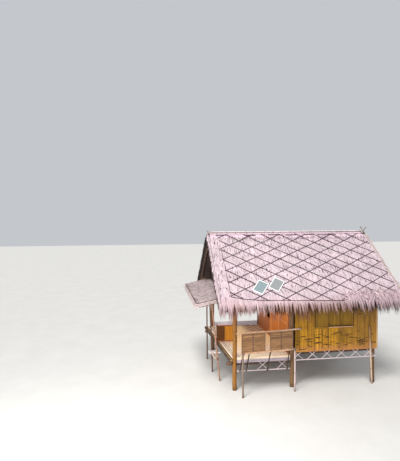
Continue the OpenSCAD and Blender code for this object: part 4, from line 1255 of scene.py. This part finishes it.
# The back rake edge and the lower rake layers use near-black leaves as painted shade
rake_edges("rake_edges_back", "rake_shade_leaf", (-0.012,), (1,), 34)
rake_edges("rake_shade", "rake_shade_leaf", (-0.045, -0.08, -0.115), (-1, 1), 33)
ridge_leaves("ridge_leaves", 32)
lattice(-1, "lattice_front", "front_lattice", 41)
lattice(1, "lattice_back", "back_lattice", 42)
ridge_laths("ridge_laths")
pent_leaves("pent_leaves", 51)
solar()

# Poles: node, material, slot, options
POLES = (
    ("posts", "post", "post_bamboo", {"gap": 0.42, "sides": 16}),
    ("railing_props", "prop", "pale_pole", {}),
    ("leaning_prop", "lean", "pale_pole", {}),
    ("railing_struts", "strut", "dark_pole", {}),
    ("railing_rails", "rail", "rail_pole", {"wobble": 0.3}),
    ("floor_joists", "strut", "dark_pole", {}),
    ("floor_beams", "dark_pole", "dark_pole", {}),
    ("plates", "post", "post_bamboo", {"gap": 0.42}),
    ("rafters", "dark_pole", "dark_pole", {}),
    ("ridge_pole", "dark_pole", "dark_pole", {"gap": 0.42}),
    ("ridge_trim_poles", "trim", "trim_pole", {"wobble": 0.3}),
    ("gable_poles", "rake_pole", "trim_pole", {"wobble": 0.5}),
    ("pent_poles", "dark_pole", "dark_pole", {}),
    ("side_posts", "side_pole", "side_pole", {}),
    ("entry_screen_poles", "red_pole", "red_pole", {}),
    ("entry_step_bearers", "pale_pole", "pale_pole", {}),
)
axes = {node: culms(node, material, slot, seed, **more)
        for seed, (node, material, slot, more) in enumerate(POLES, 71)}

ties = Build()
for first, second in (("railing_rails", "railing_struts"), ("railing_rails", "railing_props"),
                      ("side_posts", "entry_step_bearers"),
                      ("entry_screen_poles", "entry_screen_poles"), ("side_posts", "pent_poles")):
    for a in axes[first]:
        for b in axes[second]:
            if a is not b:
                lash(ties, a, b)
ties.done("lashings", "cord", "dark_pole", smooth=True)

# Walls, doors and floors
long_wall(-1, "front_wall", 91)
long_wall(1, "back_wall", 92)
right_wall(93)
gable_strips(94)
inner_wall_boards(95)
shutters(96)
leaf_strips("door_leaf_front", "front_leaf", 97)
leaf_strips("door_leaf_back", "back_leaf", 98)
floors(99)
floor_edge(103)
railing_slats(100)
entry_weave(101)
step_slats(102)


# Stage, light and camera

def stage():
    """A pale floor that fills the view."""
    paint = Paint("pale_floor")
    grey = paint.noise(paint.place(), 1.2, 3.0)
    paint.finish(paint.ramp(grey, [(0.3, (0.60, 0.60, 0.59)), (0.7, (0.64, 0.64, 0.63))]), 0.9)
    mesh = bpy.data.meshes.new("stage_floor")
    size = 60
    mesh.from_pydata([(-size, -size, 0), (size, -size, 0), (size, size, 0), (-size, size, 0)], [],
                     [(0, 1, 2, 3)])
    mesh.materials.append(M["pale_floor"])
    floor = link("stage_floor", mesh)


def aim(thing, place, ahead, roll=0.0):
    """Puts a light or the camera at a place and lets it look ahead."""
    thing.location = place
    thing.rotation_mode = "QUATERNION"
    thing.rotation_quaternion = Quaternion(-ahead, roll) @ ahead.to_track_quat("-Z", "Y")


def lamp(name, kind, place, ahead, **settings):
    data = bpy.data.lights.new(name, kind)
    for key, value in settings.items():
        setattr(data, key, value)
    aim(link(name, data), place, Vector(ahead))


def light():
    """A pale sky, a soft sun from the upper left, and two soft fill lights for the veranda."""
    world = bpy.data.worlds.new("studio")
    bpy.context.scene.world = world
    world.use_nodes = True
    background = world.node_tree.nodes["Background"]
    background.inputs["Color"].default_value = (0.92, 0.95, 1.0, 1.0)
    background.inputs["Strength"].default_value = 0.6
    warm = (1.0, 0.95, 0.88)
    lamp("soft_sun", "SUN", (0, 0, 8), (0.30, 0.50, -1.0), energy=2.6, angle=math.radians(25),
         color=(1.0, 0.96, 0.90))
    lamp("fill", "AREA", (-5.0, -6.0, 2.6), (5.8, 6.6, -0.8), energy=650, size=2.5, color=warm)
    lamp("veranda_fill", "AREA", (0.55, 1.85, 2.5), (0, 0.01, -1.0), energy=27,
         shape="RECTANGLE", size=1.0, size_y=3.0, color=warm)


def camera():
    data = bpy.data.cameras.new("camera")
    data.sensor_width = SENSOR
    data.lens = FOCAL_PX * SENSOR / LONG_SIDE_PX
    data.clip_end = 200
    view = link("camera", data)
    level = math.cos(CAMERA_PITCH)
    ahead = Vector((math.sin(CAMERA_YAW) * level, math.cos(CAMERA_YAW) * level,
                    math.sin(CAMERA_PITCH)))
    aim(view, CAMERA_AT, ahead, CAMERA_ROLL)
    bpy.context.scene.camera = view


stage()
light()
camera()
bpy.context.scene.view_settings.view_transform = "Standard"
